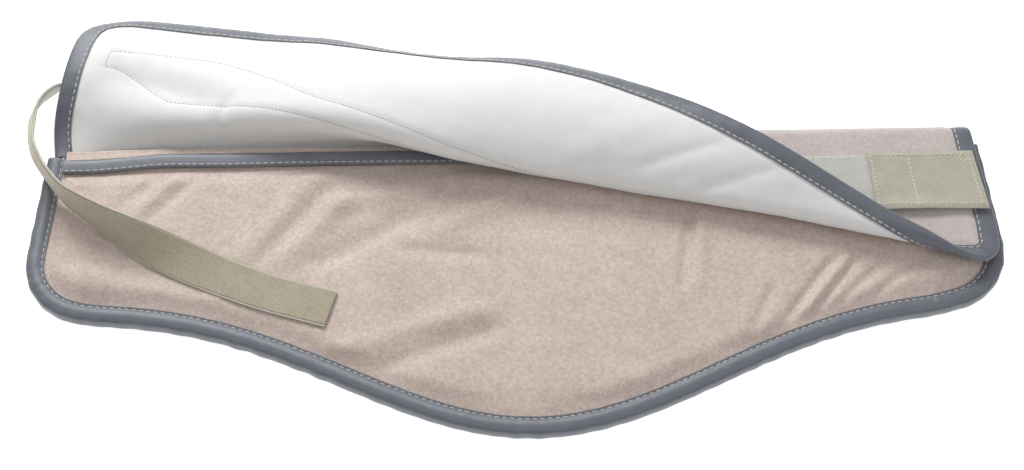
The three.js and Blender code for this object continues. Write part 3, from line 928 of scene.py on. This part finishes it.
STATIONS = (
    Station(-284.0, 3.0, 53.0, 19.0, 0.3, 67.0),
    Station(-217.0, 62.0, 13.0, 24.0, 0.35, 32.0),
    Station(-152.0, 85.0, 4.0, 30.0, 0.36, 32.0),
    Station(-87.0, 120.0, 22.0, 38.0, 0.38, 58.0),
    Station(-22.0, 167.0, 47.0, 42.0, 0.42, 61.0),
    Station(58.0, 183.0, 59.0, 55.0, 0.44, 66.0),
    Station(148.0, 181.0, 43.0, 75.0, 0.67, 29.0),
    Station(228.0, 180.0, 25.0, 97.0, 0.8, 30.0),
    Station(280.0, 180.0, 18.0, 116.0, 0.8, 24.0),
)


@dataclass
class Cloth:
    """The middle surface of the flap's cloth, over x at the fold and the distance t along the cloth."""

    left: float = -281.0
    right: float = 277.0
    end_height: float = 107.5
    lobe_height: float = 23.0
    lobe_x: float = 9.0
    lobe_reach: float = 236.0
    corner_left: float = 20.0
    corner_right: float = 14.0
    flare_left: float = 9.0
    flare_right: float = 8.0
    flare_rise: float = 82.0
    flare_reach: float = 200.0
    fold_height: float = 8.5
    fold_radius: float = 6.0
    peel: float = 26.0
    droop_length: float = 60.0
    longest: float = 134.0
    step: float = 0.5
    at_fold: float = 0.2
    hinge_room: float = 5.4
    folds: tuple[Crease, ...] = (
        Crease((-238.0, 50.0), (-192.0, 38.0), 9.0, -2.2),
        Crease((-244.0, 68.0), (-200.0, 58.0), 10.0, 1.3),
        Crease((-262.0, 60.0), (-256.0, 84.0), 7.0, 1.0),
        Crease((-180.0, 10.0), (-178.0, 34.0), 5.0, -1.6),
        Crease((70.0, 80.0), (95.0, 102.0), 5.0, -1.1),
        Crease((108.0, 78.0), (128.0, 98.0), 5.0, -0.9),
        Crease((30.0, 70.0), (52.0, 96.0), 9.0, 0.8),
    )
    points: Array = field(init=False)
    normals: Array = field(init=False)

    def __post_init__(self) -> None:
        """Works the surface out on a fine grid.

        At each x a column leaves the fold, turns up through rise degrees round it, turns back through the
        cuff's bend and droops past it. Its points are running sums of short equal steps.
        """
        self.x = np.arange(self.left - 3.0, self.right + 4.0, 1.0)
        self.t = np.arange(0.0, self.longest, self.step)
        values = {key: self.at_stations(key)[:, None] for key in ("rise", "lean", "bend", "drift", "droop")}
        t = self.t[None, :-1] + self.step / 2.0
        round_fold = np.maximum(self.fold_radius * np.radians(values["rise"]), 0.01)
        turned = smooth((t - values["bend"] + self.peel / 2.0) / self.peel)
        before = values["rise"] * np.clip(t / round_fold, 0.0, 1.0)
        along = np.clip((t - values["bend"]) / self.droop_length, 0.0, 2.0)
        past = values["lean"] - values["droop"] * along
        angle = np.radians(before * (1.0 - turned) + past * turned)
        aside = values["drift"] * turned
        forward = np.sqrt(1.0 - aside**2)
        steps = self.step * np.stack([aside, forward * np.cos(angle), forward * np.sin(angle)], axis=-1)
        start = np.zeros((len(self.x), 1, 3))
        start[:, 0, 0] = self.x
        start[:, 0, 2] = self.fold_height - self.fold_radius
        self.points = np.concatenate([start, start + np.cumsum(steps, axis=1)], axis=1)
        self.points[..., 0] += self.flare(self.x[:, None], self.t[None, :])
        self.normals = self.facing()
        x, t = np.meshgrid(self.x, self.t, indexing="ij")
        lift = sum((fold.lift(x, t) for fold in self.folds), np.zeros_like(x))
        lift += 0.18 * ripple(x, t, 46.0, 61) + 0.07 * ripple(x, t, 17.0, 62)
        self.points += self.normals * (lift * smooth((t - 4.0) / 20.0))[..., None]
        self.normals = self.facing()

    def at_stations(self, key: str) -> Array:
        """A cubic through the stations at every x, with slopes from each station's neighbours."""
        places = np.array([station.x for station in STATIONS])
        values = np.array([getattr(station, key) for station in STATIONS])
        last = len(places) - 1
        before = np.maximum(np.arange(last + 1) - 1, 0)
        after = np.minimum(np.arange(last + 1) + 1, last)
        slopes = (values[after] - values[before]) / (places[after] - places[before])
        i = np.clip(np.searchsorted(places, self.x, side="right") - 1, 0, last - 1)
        width = places[i + 1] - places[i]
        u = np.clip((self.x - places[i]) / width, 0.0, 1.0)
        tangents = u * (1 - u) ** 2 * width * slopes[i] + u * u * (u - 1) * width * slopes[i + 1]
        return values[i] * (1.0 - smooth(u)) + values[i + 1] * smooth(u) + tangents

    def flare(self, x: Array, t: Array) -> Array:
        """How far the cloth is moved outwards, where the flap's ends widen away from the fold."""
        share = np.clip((np.abs(x) - self.flare_reach) / (self.right - self.flare_reach), 0.0, 1.0)
        spread = np.where(x < 0.0, -self.flare_left, self.flare_right)
        return spread * share * np.clip(t / self.flare_rise, 0.0, 1.0)

    def facing(self) -> Array:
        """The direction of the lining side: the cross product of the steps along x and along t."""
        return unit(np.cross(np.gradient(self.points, axis=0), np.gradient(self.points, axis=1)))

    def at(self, x: Array, t: Array, offset: Array | float = 0.0) -> Array:
        """Points above x at distance t, moved by offset towards the lining side, by bilinear weights."""
        points, normals = self.read(self.points, x, t), unit(self.read(self.normals, x, t))
        return points + normals * np.asarray(offset)[..., None]

    def towards(self, x: Array, t: Array) -> Array:
        """Direction of the lining side above x at distance t."""
        return unit(self.read(self.normals, x, t))

    def read(self, table: Array, x: Array, t: Array) -> Array:
        """Bilinear reading of a table over x and t."""
        a = np.clip(x - self.x[0], 0.0, len(self.x) - 1.001)
        b = np.clip(t / self.step, 0.0, len(self.t) - 1.001)
        i, j = a.astype(int), b.astype(int)
        u, v = (a - i)[..., None], (b - j)[..., None]
        low = table[i, j] * (1.0 - v) + table[i, j + 1] * v
        high = table[i + 1, j] * (1.0 - v) + table[i + 1, j + 1] * v
        return low * (1.0 - u) + high * u

    def height(self, x: Array, inset: Array | float = 0.0) -> Array:
        """Length of the cloth from the fold to the free edge drawn in by inset, with round corners."""
        share = np.clip(np.abs(x - self.lobe_x) / self.lobe_reach, 0.0, 1.0)
        straight = self.end_height + self.lobe_height / 2.0 * (1.0 + np.cos(np.pi * share))
        corner = np.where(x < self.lobe_x, self.corner_left, self.corner_right)
        radius = corner - inset
        short = np.clip(corner - np.minimum(x - self.left, self.right - x), 0.0, radius)
        return straight - corner + np.sqrt(radius**2 - short**2)

    def start(self, x: Array) -> Array:
        """Where the flap's cloth begins: at the fold on the left, and past the hinge's room on the right."""
        return self.at_fold + self.hinge_room * smooth((x + 60.0) / 120.0)

    def border(self, inset: Array) -> tuple[Array, Array]:
        """The flap's edge drawn in by each inset: up the left end, along the free edge, down the right end.

        Args:
            inset: distances inside the edge, (k).

        Returns:
            x and t, each (n, k).
        """
        inset = np.atleast_1d(inset)[None, :]
        level = np.zeros_like(inset)
        left, right = self.corner_left, self.corner_right
        share = np.linspace(0.0, 1.0, 64)[:, None]
        angle = np.linspace(0.0, np.pi / 2.0, 26)[1:, None]
        along = np.linspace(self.left + left, self.right - right, 380)[1:-1, None] + level
        first, last = self.at_fold, self.at_fold + self.hinge_room
        up = first + (self.end_height - left - first) * share + level
        down = last + (self.end_height - right - last) * share[::-1] + level
        x = [
            self.left + np.broadcast_to(inset, up.shape),
            self.left + left - (left - inset) * np.cos(angle),
            along,
            self.right - right + (right - inset) * np.cos(angle[::-1]),
            self.right - np.broadcast_to(inset, down.shape),
        ]
        t = [
            up,
            self.end_height - left + (left - inset) * np.sin(angle),
            self.height(along, inset),
            self.end_height - right + (right - inset) * np.sin(angle[::-1]),
            down,
        ]
        return np.concatenate(x), np.concatenate(t)


class Face(Enum):
    """A face of the flap, as the sign of an offset from the middle of its cloth."""

    LINING = 1.0
    FLEECE = -1.0


@dataclass
class Flap:
    """The upper half of the wrap with everything sewn to it."""

    place: Place
    cupboard: Cupboard
    cloth: Cloth
    tape: Tape = field(default_factory=Tape)
    bend: Bend = Bend(("root", "flap_end"), (-60.0, 0.0, 8.5), (200.0, 0.0, 8.5))
    cloth_inset: float = 5.0
    ring_pitch: float = 1.4
    belt_middle: float = 53.0
    belt_width: float = 38.0
    belt_left: float = -260.0
    belt_taper: float = 50.0
    belt_end: float = 15.0
    belt_seam_inset: float = 2.0
    seam_sag: float = 22.0
    tab_left: float = 212.0
    tab_right: float = 273.0
    tab_width: float = 40.0
    tab_slant: float = 1.5
    anchor_left: float = -272.0
    anchor_right: float = -243.0
    strap_width: float = 24.0
    discs: tuple[tuple[str, float, float], ...] = (("left", 36.0, 62.0), ("right", 92.0, 70.0))
    disc_radius: float = 5.0

    def build(self) -> None:
        """Builds every piece of the flap."""
        self.layers()
        self.binding()
        self.lip()
        self.belt()
        self.tab()
        self.anchor()
        self.buttons()

    def settle(self, piece: bpy.types.Object, slot: str, *nodes: str) -> bpy.types.Object:
        """Hands a piece to the flap's bend, which bakes its transform and hides the CAD nodes it stands for.
        """
        return self.bend.settle(piece, self.place, slot, *nodes)

    def sides(self, name: str) -> tuple[str, str]:
        """The two CAD nodes that a piece of the whole flap stands for."""
        return f"flap_left_{name}", f"flap_right_{name}"

    def sheet(self, x: Array, t: Array, low: Array | float, high: Array | float) -> tuple[Surface, Array]:
        """A closed sheet between two offsets, and the place of each vertex on the flat cloth."""
        ground = np.zeros_like(x)
        lower, upper = self.cloth.at(x, t, ground + low), self.cloth.at(x, t, ground + high)
        cut = np.stack([x, t], axis=-1).reshape(-1, 2)
        return shell(lower, upper), np.concatenate([cut, cut])

    def layers(self) -> None:
        """Fleece, wadding and lining, each one sheet from the fold to under the tape."""
        inset = self.cloth_inset
        column = np.linspace(self.cloth.left + inset, self.cloth.right - inset, 400)
        start, end = self.cloth.start(column), self.cloth.height(column, inset)
        t = start[:, None] + (end - start)[:, None] * np.linspace(0.0, 1.0, 90)
        x = np.broadcast_to(column[:, None], t.shape)
        seam = self.seam_dip(x, t)
        inside = np.minimum(np.minimum(x - self.cloth.left, self.cloth.right - x), end[:, None] + inset - t)
        tucked = 0.9 * (1.0 - smooth((inside - self.tape.stitch) / 5.0))
        spots = sum(np.exp(-(((x - a) ** 2 + (t - b) ** 2) / 30.0)) for _, a, b in self.discs)
        raised = 0.35 * spots - seam
        for name, finish, low, high in (
            ("fleece", "flap_fleece", -2.1 + tucked, -1.0),
            ("wadding", "felt", -0.75, 0.7 - seam),
            ("lining", "lining", 0.95 + raised, 1.45 + raised - tucked),
        ):
            surface, uv = self.sheet(x, t, low, high)
            piece = self.place.mesh(f"flap_{name}", surface, self.cupboard.get(finish), uv=uv)
            self.settle(piece, name.replace("wadding", "felt"), *self.sides(name))

    def belt_seam(self, sag: float) -> Array:
        """The belt band's stitch line on the flat cloth.

        It runs in along the lower edge, round the narrow left end and back along the upper edge.

        Args:
            sag: how far the upper edge comes down past the left end.

        Returns:
            Points (n, 2) of x and t.
        """
        inset = self.belt_seam_inset
        top = self.belt_middle + self.belt_width / 2.0 - inset
        low = self.belt_middle - self.belt_width / 2.0 + inset
        right, left = self.cloth.right - 14.0, self.belt_left + inset
        share = np.linspace(1.0, 0.0, 24)
        drop = self.belt_end - 2.0 * inset + (self.belt_width - self.belt_end) * smooth(share)
        curve = np.stack([left + self.belt_taper * share, top - drop], axis=1)
        x = np.linspace(left, right, 90)
        back = np.stack([x, top - sag * smooth((x - left - self.belt_taper) / 95.0)], axis=1)
        return np.concatenate([[(right, low)], curve, back])

    def seam_dip(self, x: Array, t: Array) -> Array:
        """How far the belt band's stitches pull the lining in, in mm."""
        corners = self.belt_seam(self.seam_sag)
        lines = [Crease(tuple(a), tuple(b), 1.3, 0.45) for a, b in zip(corners[:-1], corners[1:])]
        return np.max([line.lift(x, t) for line in lines], axis=0)

    def binding(self) -> None:
        """The tape of the flap's ends and free edge, with stitches on both faces."""
        distance, height = self.tape.section(-1.75, 1.75, 0.35)
        x, t = self.cloth.border(distance)
        run = np.arange(len(x)) * self.ring_pitch
        swell = 1.0 + 0.04 * ripple(run, 0.0, 9.0, 71) + 0.03 * ripple(run, 5.0, 30.0, 72)
        rings = self.cloth.at(x, t, height * swell[:, None])
        uv = Pocket.tape_uv(run, distance)
        piece = self.place.mesh("flap_tape", tube(rings), self.cupboard.get("binding_tape"), uv=uv)
        self.settle(piece, "binding_tape", *self.sides("binding"))
        rows = [self.stitches(*self.cloth.border(np.array([self.tape.stitch])), face) for face in Face]
        thread = self.place.mesh("flap_tape_stitches", together(*rows), self.cupboard.get("thread"))
        self.settle(thread, "binding_tape")

    def stitches(self, x: Array, t: Array, face: Face, off: float = 1.75, **thread: float) -> Surface:
        """Stitches along a line of the cloth on one of its faces."""
        line, depth = x.ravel(), t.ravel()
        path = self.cloth.at(line, depth, np.full_like(line, face.value * off))
        return Stitching(**thread).row(path, self.cloth.towards(line, depth) * face.value)

    def lip(self) -> None:
        """The turn of fleece at the fold that stays with the back when the flap's end lifts."""
        column = np.linspace(-60.0, self.cloth.right - self.cloth_inset, 150)
        t = self.cloth.at_fold + (self.cloth.start(column) - 0.5)[:, None] * np.linspace(0.0, 1.0, 8)
        x = np.broadcast_to(column[:, None], t.shape)
        surface, uv = self.sheet(x, t, -2.1, -1.0)
        piece = self.place.mesh("fold_lip", surface, self.cupboard.get("flap_fleece"), uv=uv)
        settle(piece, "fleece")

    def belt(self) -> None:
        """The belt band on the fleece, tapered at its left end, and its stitches on both faces."""
        right = self.cloth.right - 11.5
        column = np.linspace(self.belt_left, right, 300)
        narrow = np.clip(1.0 - (column - self.belt_left) / self.belt_taper, 0.0, 1.0)
        cut = (self.belt_width - self.belt_end) * smooth(narrow)
        low, high = self.belt_middle - self.belt_width / 2.0 + cut, self.belt_middle + self.belt_width / 2.0
        share = np.linspace(0.0, 1.0, 24)
        t = low[:, None] + (high - low)[:, None] * share
        x = np.broadcast_to(column[:, None], t.shape)
        thin = 0.5 * (1.0 - smooth(np.minimum(share, 1.0 - share) / 0.06))
        surface, uv = self.sheet(x, t, -3.3 + thin, -2.25)
        piece = self.place.mesh("belt_band", surface, self.cupboard.get("loop_tape"), uv=uv)
        self.settle(piece, "loop_tape", *self.sides("belt_band"))
        x, t = walk(self.belt_seam(self.seam_sag), 2.0)[0].T
        inside = self.stitches(x, t, Face.LINING, 1.0, width=0.55, height=0.28, pitch=2.6, length=2.4)
        x, t = walk(self.belt_seam(0.0), 2.0)[0].T
        outside = self.stitches(x, t, Face.FLEECE, 3.25, width=0.6, height=0.3, pitch=3.6, length=2.7)
        thread = self.place.mesh("belt_seam", inside, self.cupboard.get("lining_thread"))
        self.settle(thread, "lining")
        thread = self.place.mesh("belt_stitches", outside, self.cupboard.get("khaki_thread"))
        self.settle(thread, "loop_tape")

    def tab_place(self, u: Array, v: Array, out: Array | float = 0.0) -> tuple[Array, Array]:
        """Points of the hook tab's under face, moved out from it, and its direction there.

        The tab is slanted along the flap, steps up over the end's tape, and its lower edge lifts in waves.

        Args:
            u, v: shares of the tab's length and of its width.
            out: distance out from the under face, in mm.

        Returns:
            The points, and the unit directions.
        """
        x = self.tab_left + (self.tab_right - self.tab_left) * u
        t = self.belt_middle + self.tab_width * (v - 0.5)
        step = 0.5 * smooth((x - 256.0) / 12.0)
        rise = 1.9 * smooth((v - 0.7) / 0.3) * (0.5 + 0.5 * np.sin((x - 216.0) / 13.0))
        points = self.cloth.at(x, t, -(3.5 + step + rise + out))
        points[..., 0] += self.tab_slant * v
        return points, -self.cloth.towards(x, t)

    def tab(self) -> None:
        """The hook tab over the right end's tape, with its rows of stitches and a backtack."""
        share = np.linspace(0.0, 1.0, 44)
        u, v = np.meshgrid(np.linspace(0.0, 1.0, 90), share, indexing="ij")
        rim = 0.6 * (1.0 - smooth(np.minimum(v, 1.0 - v) / 0.05))
        under, over = self.tab_place(u, v)[0], self.tab_place(u, v, 1.3 - rim)[0]
        cut = np.stack([u * (self.tab_right - self.tab_left), v * self.tab_width], axis=-1).reshape(-1, 2)
        uv = np.concatenate([cut, cut])
        piece = self.place.mesh("hook_strip", shell(over, under), self.cupboard.get("hook_tape"), uv=uv)
        settle(piece, "hook_tape", "hook_tab", body="flap_end")
        turn = np.linspace(0.0, 2.0 * np.pi, 40)
        rows = [
            (np.linspace(0.03, 0.97, 60), np.full(60, 0.06)),
            (np.linspace(0.03, 0.97, 60), np.full(60, 0.92)),
            (np.full(60, 0.03), np.linspace(0.06, 0.92, 60)),
            (np.full(60, 0.38), np.linspace(0.03, 0.97, 60)),
            (np.full(60, 0.95), np.linspace(0.06, 0.92, 60)),
            (0.9 + 0.03 * np.cos(turn), 0.13 + 0.09 * np.sin(turn)),
        ]
        sewn = [Stitching(3.0, 2.3, 0.7, 0.45).row(*self.tab_place(*row, 1.35)) for row in rows]
        thread = self.place.mesh("hook_stitches", together(*sewn), self.cupboard.get("khaki_thread"))
        settle(thread, "hook_tape", body="flap_end")

    def anchor(self) -> None:
        """The end of the strap, sewn flat over the belt band with a crossed box of stitches."""
        half = self.strap_width / 2.0
        across = np.linspace(-half, half, 24)
        along = np.linspace(self.anchor_left, self.anchor_right, 30)
        x, t = np.meshgrid(along, self.belt_middle + across, indexing="ij")
        rim = 0.6 * (1.0 - smooth((half - np.abs(across)) / 1.6))
        surface, uv = self.sheet(x, t, -5.0 + rim, -3.4)
        piece = self.place.mesh("strap_end_sewn", surface, self.cupboard.get("velour"), uv=uv)
        settle(piece, "strap_tape", "strap_anchor")
        left, right = self.anchor_left + 2.5, self.anchor_right - 2.5
        low, high = self.belt_middle - half + 3.0, self.belt_middle + half - 3.0
        box = [(left, low), (right, low), (right, high), (left, high), (left, low), (right, high)]
        lines = [walk(np.array(pair), 2.0)[0].T for pair in zip(box[:-1], box[1:])]
        sizes = {"pitch": 3.0, "length": 2.3, "width": 0.6, "height": 0.3}
        rows = [self.stitches(*line, Face.FLEECE, 5.0, **sizes) for line in lines]
        thread = self.place.mesh("strap_end_stitches", together(*rows), self.cupboard.get("khaki_thread"))
        settle(thread, "strap_tape")

    def buttons(self) -> None:
        """The two small discs under the lining: circles on the cloth, domed as 1 − r²."""
        angle = np.linspace(0.0, 2.0 * np.pi, 33)[:-1]
        for side, x, t in self.discs:
            share = np.array([1.0, 0.97, 0.85, 0.6, 0.3, 0.02, 0.02, 0.6, 0.97])
            height = np.array([0.8, 0.86, 0.9, 0.93, 0.95, 0.95, 0.72, 0.72, 0.72])
            a = x + self.disc_radius * share[:, None] * np.cos(angle)
            b = t + self.disc_radius * share[:, None] * np.sin(angle)
            rings = self.cloth.at(a, b, np.broadcast_to(height[:, None], a.shape))
            loop = np.concatenate([rings, rings[:1]])
            piece = self.place.mesh(f"disc_{side}", self.ring(loop), self.cupboard.get("disc_plastic"))
            self.settle(piece, "disc_plastic", f"lining_disc_{side}")

    @staticmethod
    def ring(loops: Array) -> Surface:
        """A surface of loops whose first and last are the same loop, with no caps."""
        count, points = loops.shape[0] - 1, loops.shape[1]
        index = np.arange(count * points).reshape(count, points)
        index = np.concatenate([index, index[:1]])
        return loops[:-1].reshape(-1, 3), [quads(np.concatenate([index, index[:, :1]], axis=1))]


# ---- The strap ----


@dataclass(frozen=True)
class Stop:
    """A point of the strap's centre line in mm, and how far its width leans from upright, in degrees."""

    x: float
    y: float
    z: float
    lie: float


@dataclass
class Strap:
    """The hook-and-loop strap: sewn to the flap's left end, bowed out round it and laid over the front."""

    place: Place
    cupboard: Cupboard
    width: float = 24.0
    thickness: float = 2.1
    selvedge: float = 1.2
    route: tuple[Stop, ...] = (
        Stop(-277.0, 49.0, 10.0, 36.0),
        Stop(-283.0, 45.0, 11.5, 26.0),
        Stop(-290.0, 37.0, 13.2, 25.0),
        Stop(-294.0, 27.0, 14.0, 25.0),
        Stop(-294.0, 14.0, 14.6, 21.0),
        Stop(-291.0, -1.0, 17.5, 12.0),
        Stop(-284.0, -15.0, 21.5, 6.0),
        Stop(-277.0, -26.0, 23.6, 3.0),
        Stop(-267.0, -38.0, 23.6, 5.0),
        Stop(-252.0, -49.0, 23.0, 14.0),
        Stop(-236.0, -59.0, 22.0, 26.0),
        Stop(-216.0, -70.0, 19.8, 50.0),
        Stop(-184.0, -84.0, 14.2, 80.0),
        Stop(-147.0, -99.0, 12.4, 90.0),
        Stop(-108.0, -111.0, 12.3, 90.0),
    )
    begin: float = 0.3
    join: float = 9.0
    swing: Bend = Bend(("root", "strap_loop"), (-279.0, 48.0, 14.0), (-294.0, 27.0, 14.0))
    lift: Bend = Bend(("strap_loop", "strap_free"), (-188.0, -82.0, 14.5), (-146.0, -99.5, 12.4))

    def line(self, stops: Array) -> Array:
        """The route at fractional stops, (n, 4): a Catmull-Rom curve through place and lie together."""
        table = np.array([[s.x, s.y, s.z, s.lie] for s in self.route])
        table = np.concatenate([2.0 * table[:1] - table[1:2], table, 2.0 * table[-1:] - table[-2:-1]])
        i = np.clip(stops.astype(int), 0, len(self.route) - 2)
        u = (stops - i)[:, None]
        a, b, c, d = (table[i + k] for k in range(4))
        square, cube = 2.0 * a - 5.0 * b + 4.0 * c - d, 3.0 * b - a - 3.0 * c + d
        return 0.5 * (2.0 * b + (c - a) * u + square * u**2 + cube * u**3)

    def band(self, first: float, last: float, count: int) -> tuple[Array, Array]:
        """Rings of the strap's section between two stops: flat pile between two thinner woven edges.

        Args:
            first, last: the stops where it begins and ends.
            count: how many rings.

        Returns:
            The rings (count, 18, 3), and the running length and distance across of each of their points.
        """
        stops = np.linspace(first, last, count)
        values = self.line(stops)
        ahead = unit(self.line(stops + 0.02)[:, :3] - self.line(stops - 0.02)[:, :3])
        flat = unit(np.cross([0.0, 0.0, 1.0], ahead))
        lie = np.radians(values[:, 3:])
        across = unit(np.cos(lie) * np.array([0.0, 0.0, 1.0]) + np.sin(lie) * flat)
        out = unit(np.cross(ahead, across))
        half, pile, edge = self.width / 2.0, self.thickness / 2.0, self.thickness / 4.0
        inner, lip = half - self.selvedge, half - 0.15
        shoulder = inner - 0.2
        over = [-lip, -inner, -shoulder, -half / 2.0, 0.0, half / 2.0, shoulder, inner, lip]
        under = [lip, inner, shoulder, 0.0, -shoulder, -inner, -lip]
        breadth = np.array([-half, *over, half, *under])
        above, below = [edge, edge, *[pile] * 5, edge, edge], [edge, edge, *[pile] * 3, edge, edge]
        rise = np.array([0.0, *above, 0.0, *[-height for height in below]])
        rings = values[:, None, :3] + across[:, None] * breadth[:, None] + out[:, None] * rise[:, None]
        run = np.concatenate([[0.0], np.cumsum(np.linalg.norm(np.diff(values[:, :3], axis=0), axis=1))])
        uv = np.stack(np.meshgrid(run, breadth, indexing="ij"), axis=-1)
        return rings, uv.reshape(-1, 2)

    def piece(self, name: str, first: float, last: float, count: int) -> bpy.types.Object:
        """A length of the strap, with pile on its two faces and a woven finish on its edges."""
        rings, uv = self.band(first, last, count)
        points = rings.shape[1]
        # The strips between the section's points, counted from the lower rim over the outer face.
        strip = np.arange(points)
        edge = np.isin(strip, (0, 1, 8, 9, 10, 11, 16, 17))
        slot = np.where(edge, 1, np.where(strip > 11, 2, 0))
        dressed = np.concatenate([np.tile(slot, count - 1), [0, 0]])
        finishes = [self.cupboard.get(finish) for finish in ("velour", "selvedge", "loop_tape")]
        return self.place.mesh(name, tube(rings), *finishes, uv=uv, dressed=dressed)

    def build(self) -> None:
        """The bow, which leaves the flap, and the free run, which lifts; each is handed to a bend that bakes
        its transform and hides its CAD node.
        """
        bow = self.piece("strap_bow_tape", self.begin, self.join, 90)
        self.swing.settle(bow, self.place, "strap_tape", "strap_bow")
        run = self.piece("strap_run_tape", self.join, len(self.route) - 1.0, 110)
        self.lift.settle(run, self.place, "strap_tape", "strap_run")


# ---- The heater ----


class Heater:
    """The pieces inside the pocket, which keep their CAD shape and get their finishes."""

    NODES = {
        "heater_back_felt": "felt",
        "heater_front_felt": "felt",
        "heater_foil": "foil",
        "heating_film": "heating_film",
        "bus_bar_upper": "copper",
        "bus_bar_lower": "copper",
        "thermal_cutout_left": "cutout_body",
        "thermal_cutout_middle": "cutout_body",
        "inlet_housing": "inlet_plastic",
        "inlet_pin_left": "inlet_brass",
        "inlet_pin_right": "inlet_brass",
    }

    def dress(self, nodes: dict[str, bpy.types.Object], cupboard: Cupboard) -> None:
        """Gives every carried-over node its finish."""
        for name, finish in self.NODES.items():
            mesh = nodes[name].data
            mesh.materials.clear()
            mesh.materials.append(cupboard.get(finish))
            log.info("%s is dressed in %s", name, finish)


# ---- The studio ----


@dataclass(frozen=True)
class Studio:
    """A plain pale floor, soft light from above and behind, and the camera."""

    lens: float = 64.0
    sensor: float = 36.0
    distance: float = 1.092
    elevation: float = 61.0
    yaw: float = 1.0
    target: Spot = (-2.0, -57.0, 0.0)
    floor_glow: float = 0.7
    world_glow: float = 0.5

    def camera(self, place: Place) -> None:
        """Looks at the target, a point of the drawing, from in front and above."""
        up, aside = np.radians(self.elevation), np.radians(self.yaw)
        ahead = Vector((np.sin(aside) * np.cos(up), np.cos(aside) * np.cos(up), -np.sin(up)))
        data = bpy.data.cameras.new("camera")
        data.lens = self.lens
        data.sensor_width = self.sensor
        camera = bpy.data.objects.new("camera", data)
        camera.location = Vector(place.frame(self.target)) - self.distance * ahead
        camera.rotation_euler = ahead.to_track_quat("-Z", "Y").to_euler()
        bpy.context.scene.collection.objects.link(camera)
        bpy.context.scene.camera = camera

    def lamp(self, name: str, at: Spot, size: tuple[float, float], power: float) -> None:
        """A rectangular soft light at a place, turned towards the origin."""
        data = bpy.data.lights.new(name, "AREA")
        data.shape = "RECTANGLE"
        data.size, data.size_y = size
        data.energy = power
        lamp = bpy.data.objects.new(name, data)
        lamp.location = at
        lamp.rotation_euler = (-Vector(at)).to_track_quat("-Z", "Y").to_euler()
        bpy.context.scene.collection.objects.link(lamp)

    def build(self) -> None:
        """Makes the floor and the lights."""
        recipe = Recipe("floor", Roughness=0.9)
        recipe.shader.inputs["Emission Color"].default_value = (1.0, 1.0, 1.0, 1.0)
        recipe.shader.inputs["Emission Strength"].default_value = self.floor_glow
        recipe.colour(recipe.noise(300.0, 1.0), (0.9, 0.9, 0.9), (0.92, 0.92, 0.92))
        bpy.ops.mesh.primitive_plane_add(size=12.0, location=(0.0, 0.0, -0.0004))
        floor = bpy.context.object
        floor.name = "floor"
        floor.data.materials.append(recipe.material)
        floor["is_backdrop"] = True
        world = bpy.data.worlds.new("studio")
        world.use_nodes = True
        background = world.node_tree.nodes["Background"]
        background.inputs["Strength"].default_value = self.world_glow
        background.inputs["Color"].default_value = (1.0, 1.0, 1.0, 1.0)
        bpy.context.scene.world = world
        self.lamp("key", (-0.4, 1.0, 0.85), (0.6, 0.45), 16.5)
        self.lamp("fill", (0.7, -0.5, 1.2), (1.2, 1.2), 3.0)
        bpy.context.scene.view_settings.view_transform = "Standard"


def corners() -> list[list[float]]:
    """The lowest and highest corner of everything shown, as plain lists."""
    return [list(corner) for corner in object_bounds()]


def main() -> None:
    """Builds the wrap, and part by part."""
    logging.basicConfig(level=logging.INFO, format="%(name)s: %(message)s")
    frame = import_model()
    low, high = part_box("edge_binding")
    pattern = Pattern()
    place = Place(x=(low.x + high.x) / 2.0 / MM, y=high.y / MM + pattern.gap)
    studio = Studio()
    studio.camera(place)
    studio.build()
    cupboard = Cupboard()
    Pocket(place, cupboard, pattern).build()
    Flap(place, cupboard, Cloth()).build()
    Strap(place, cupboard).build()
    Heater().dress(frame["nodes"], cupboard)


if __name__ == "__main__":
    main()
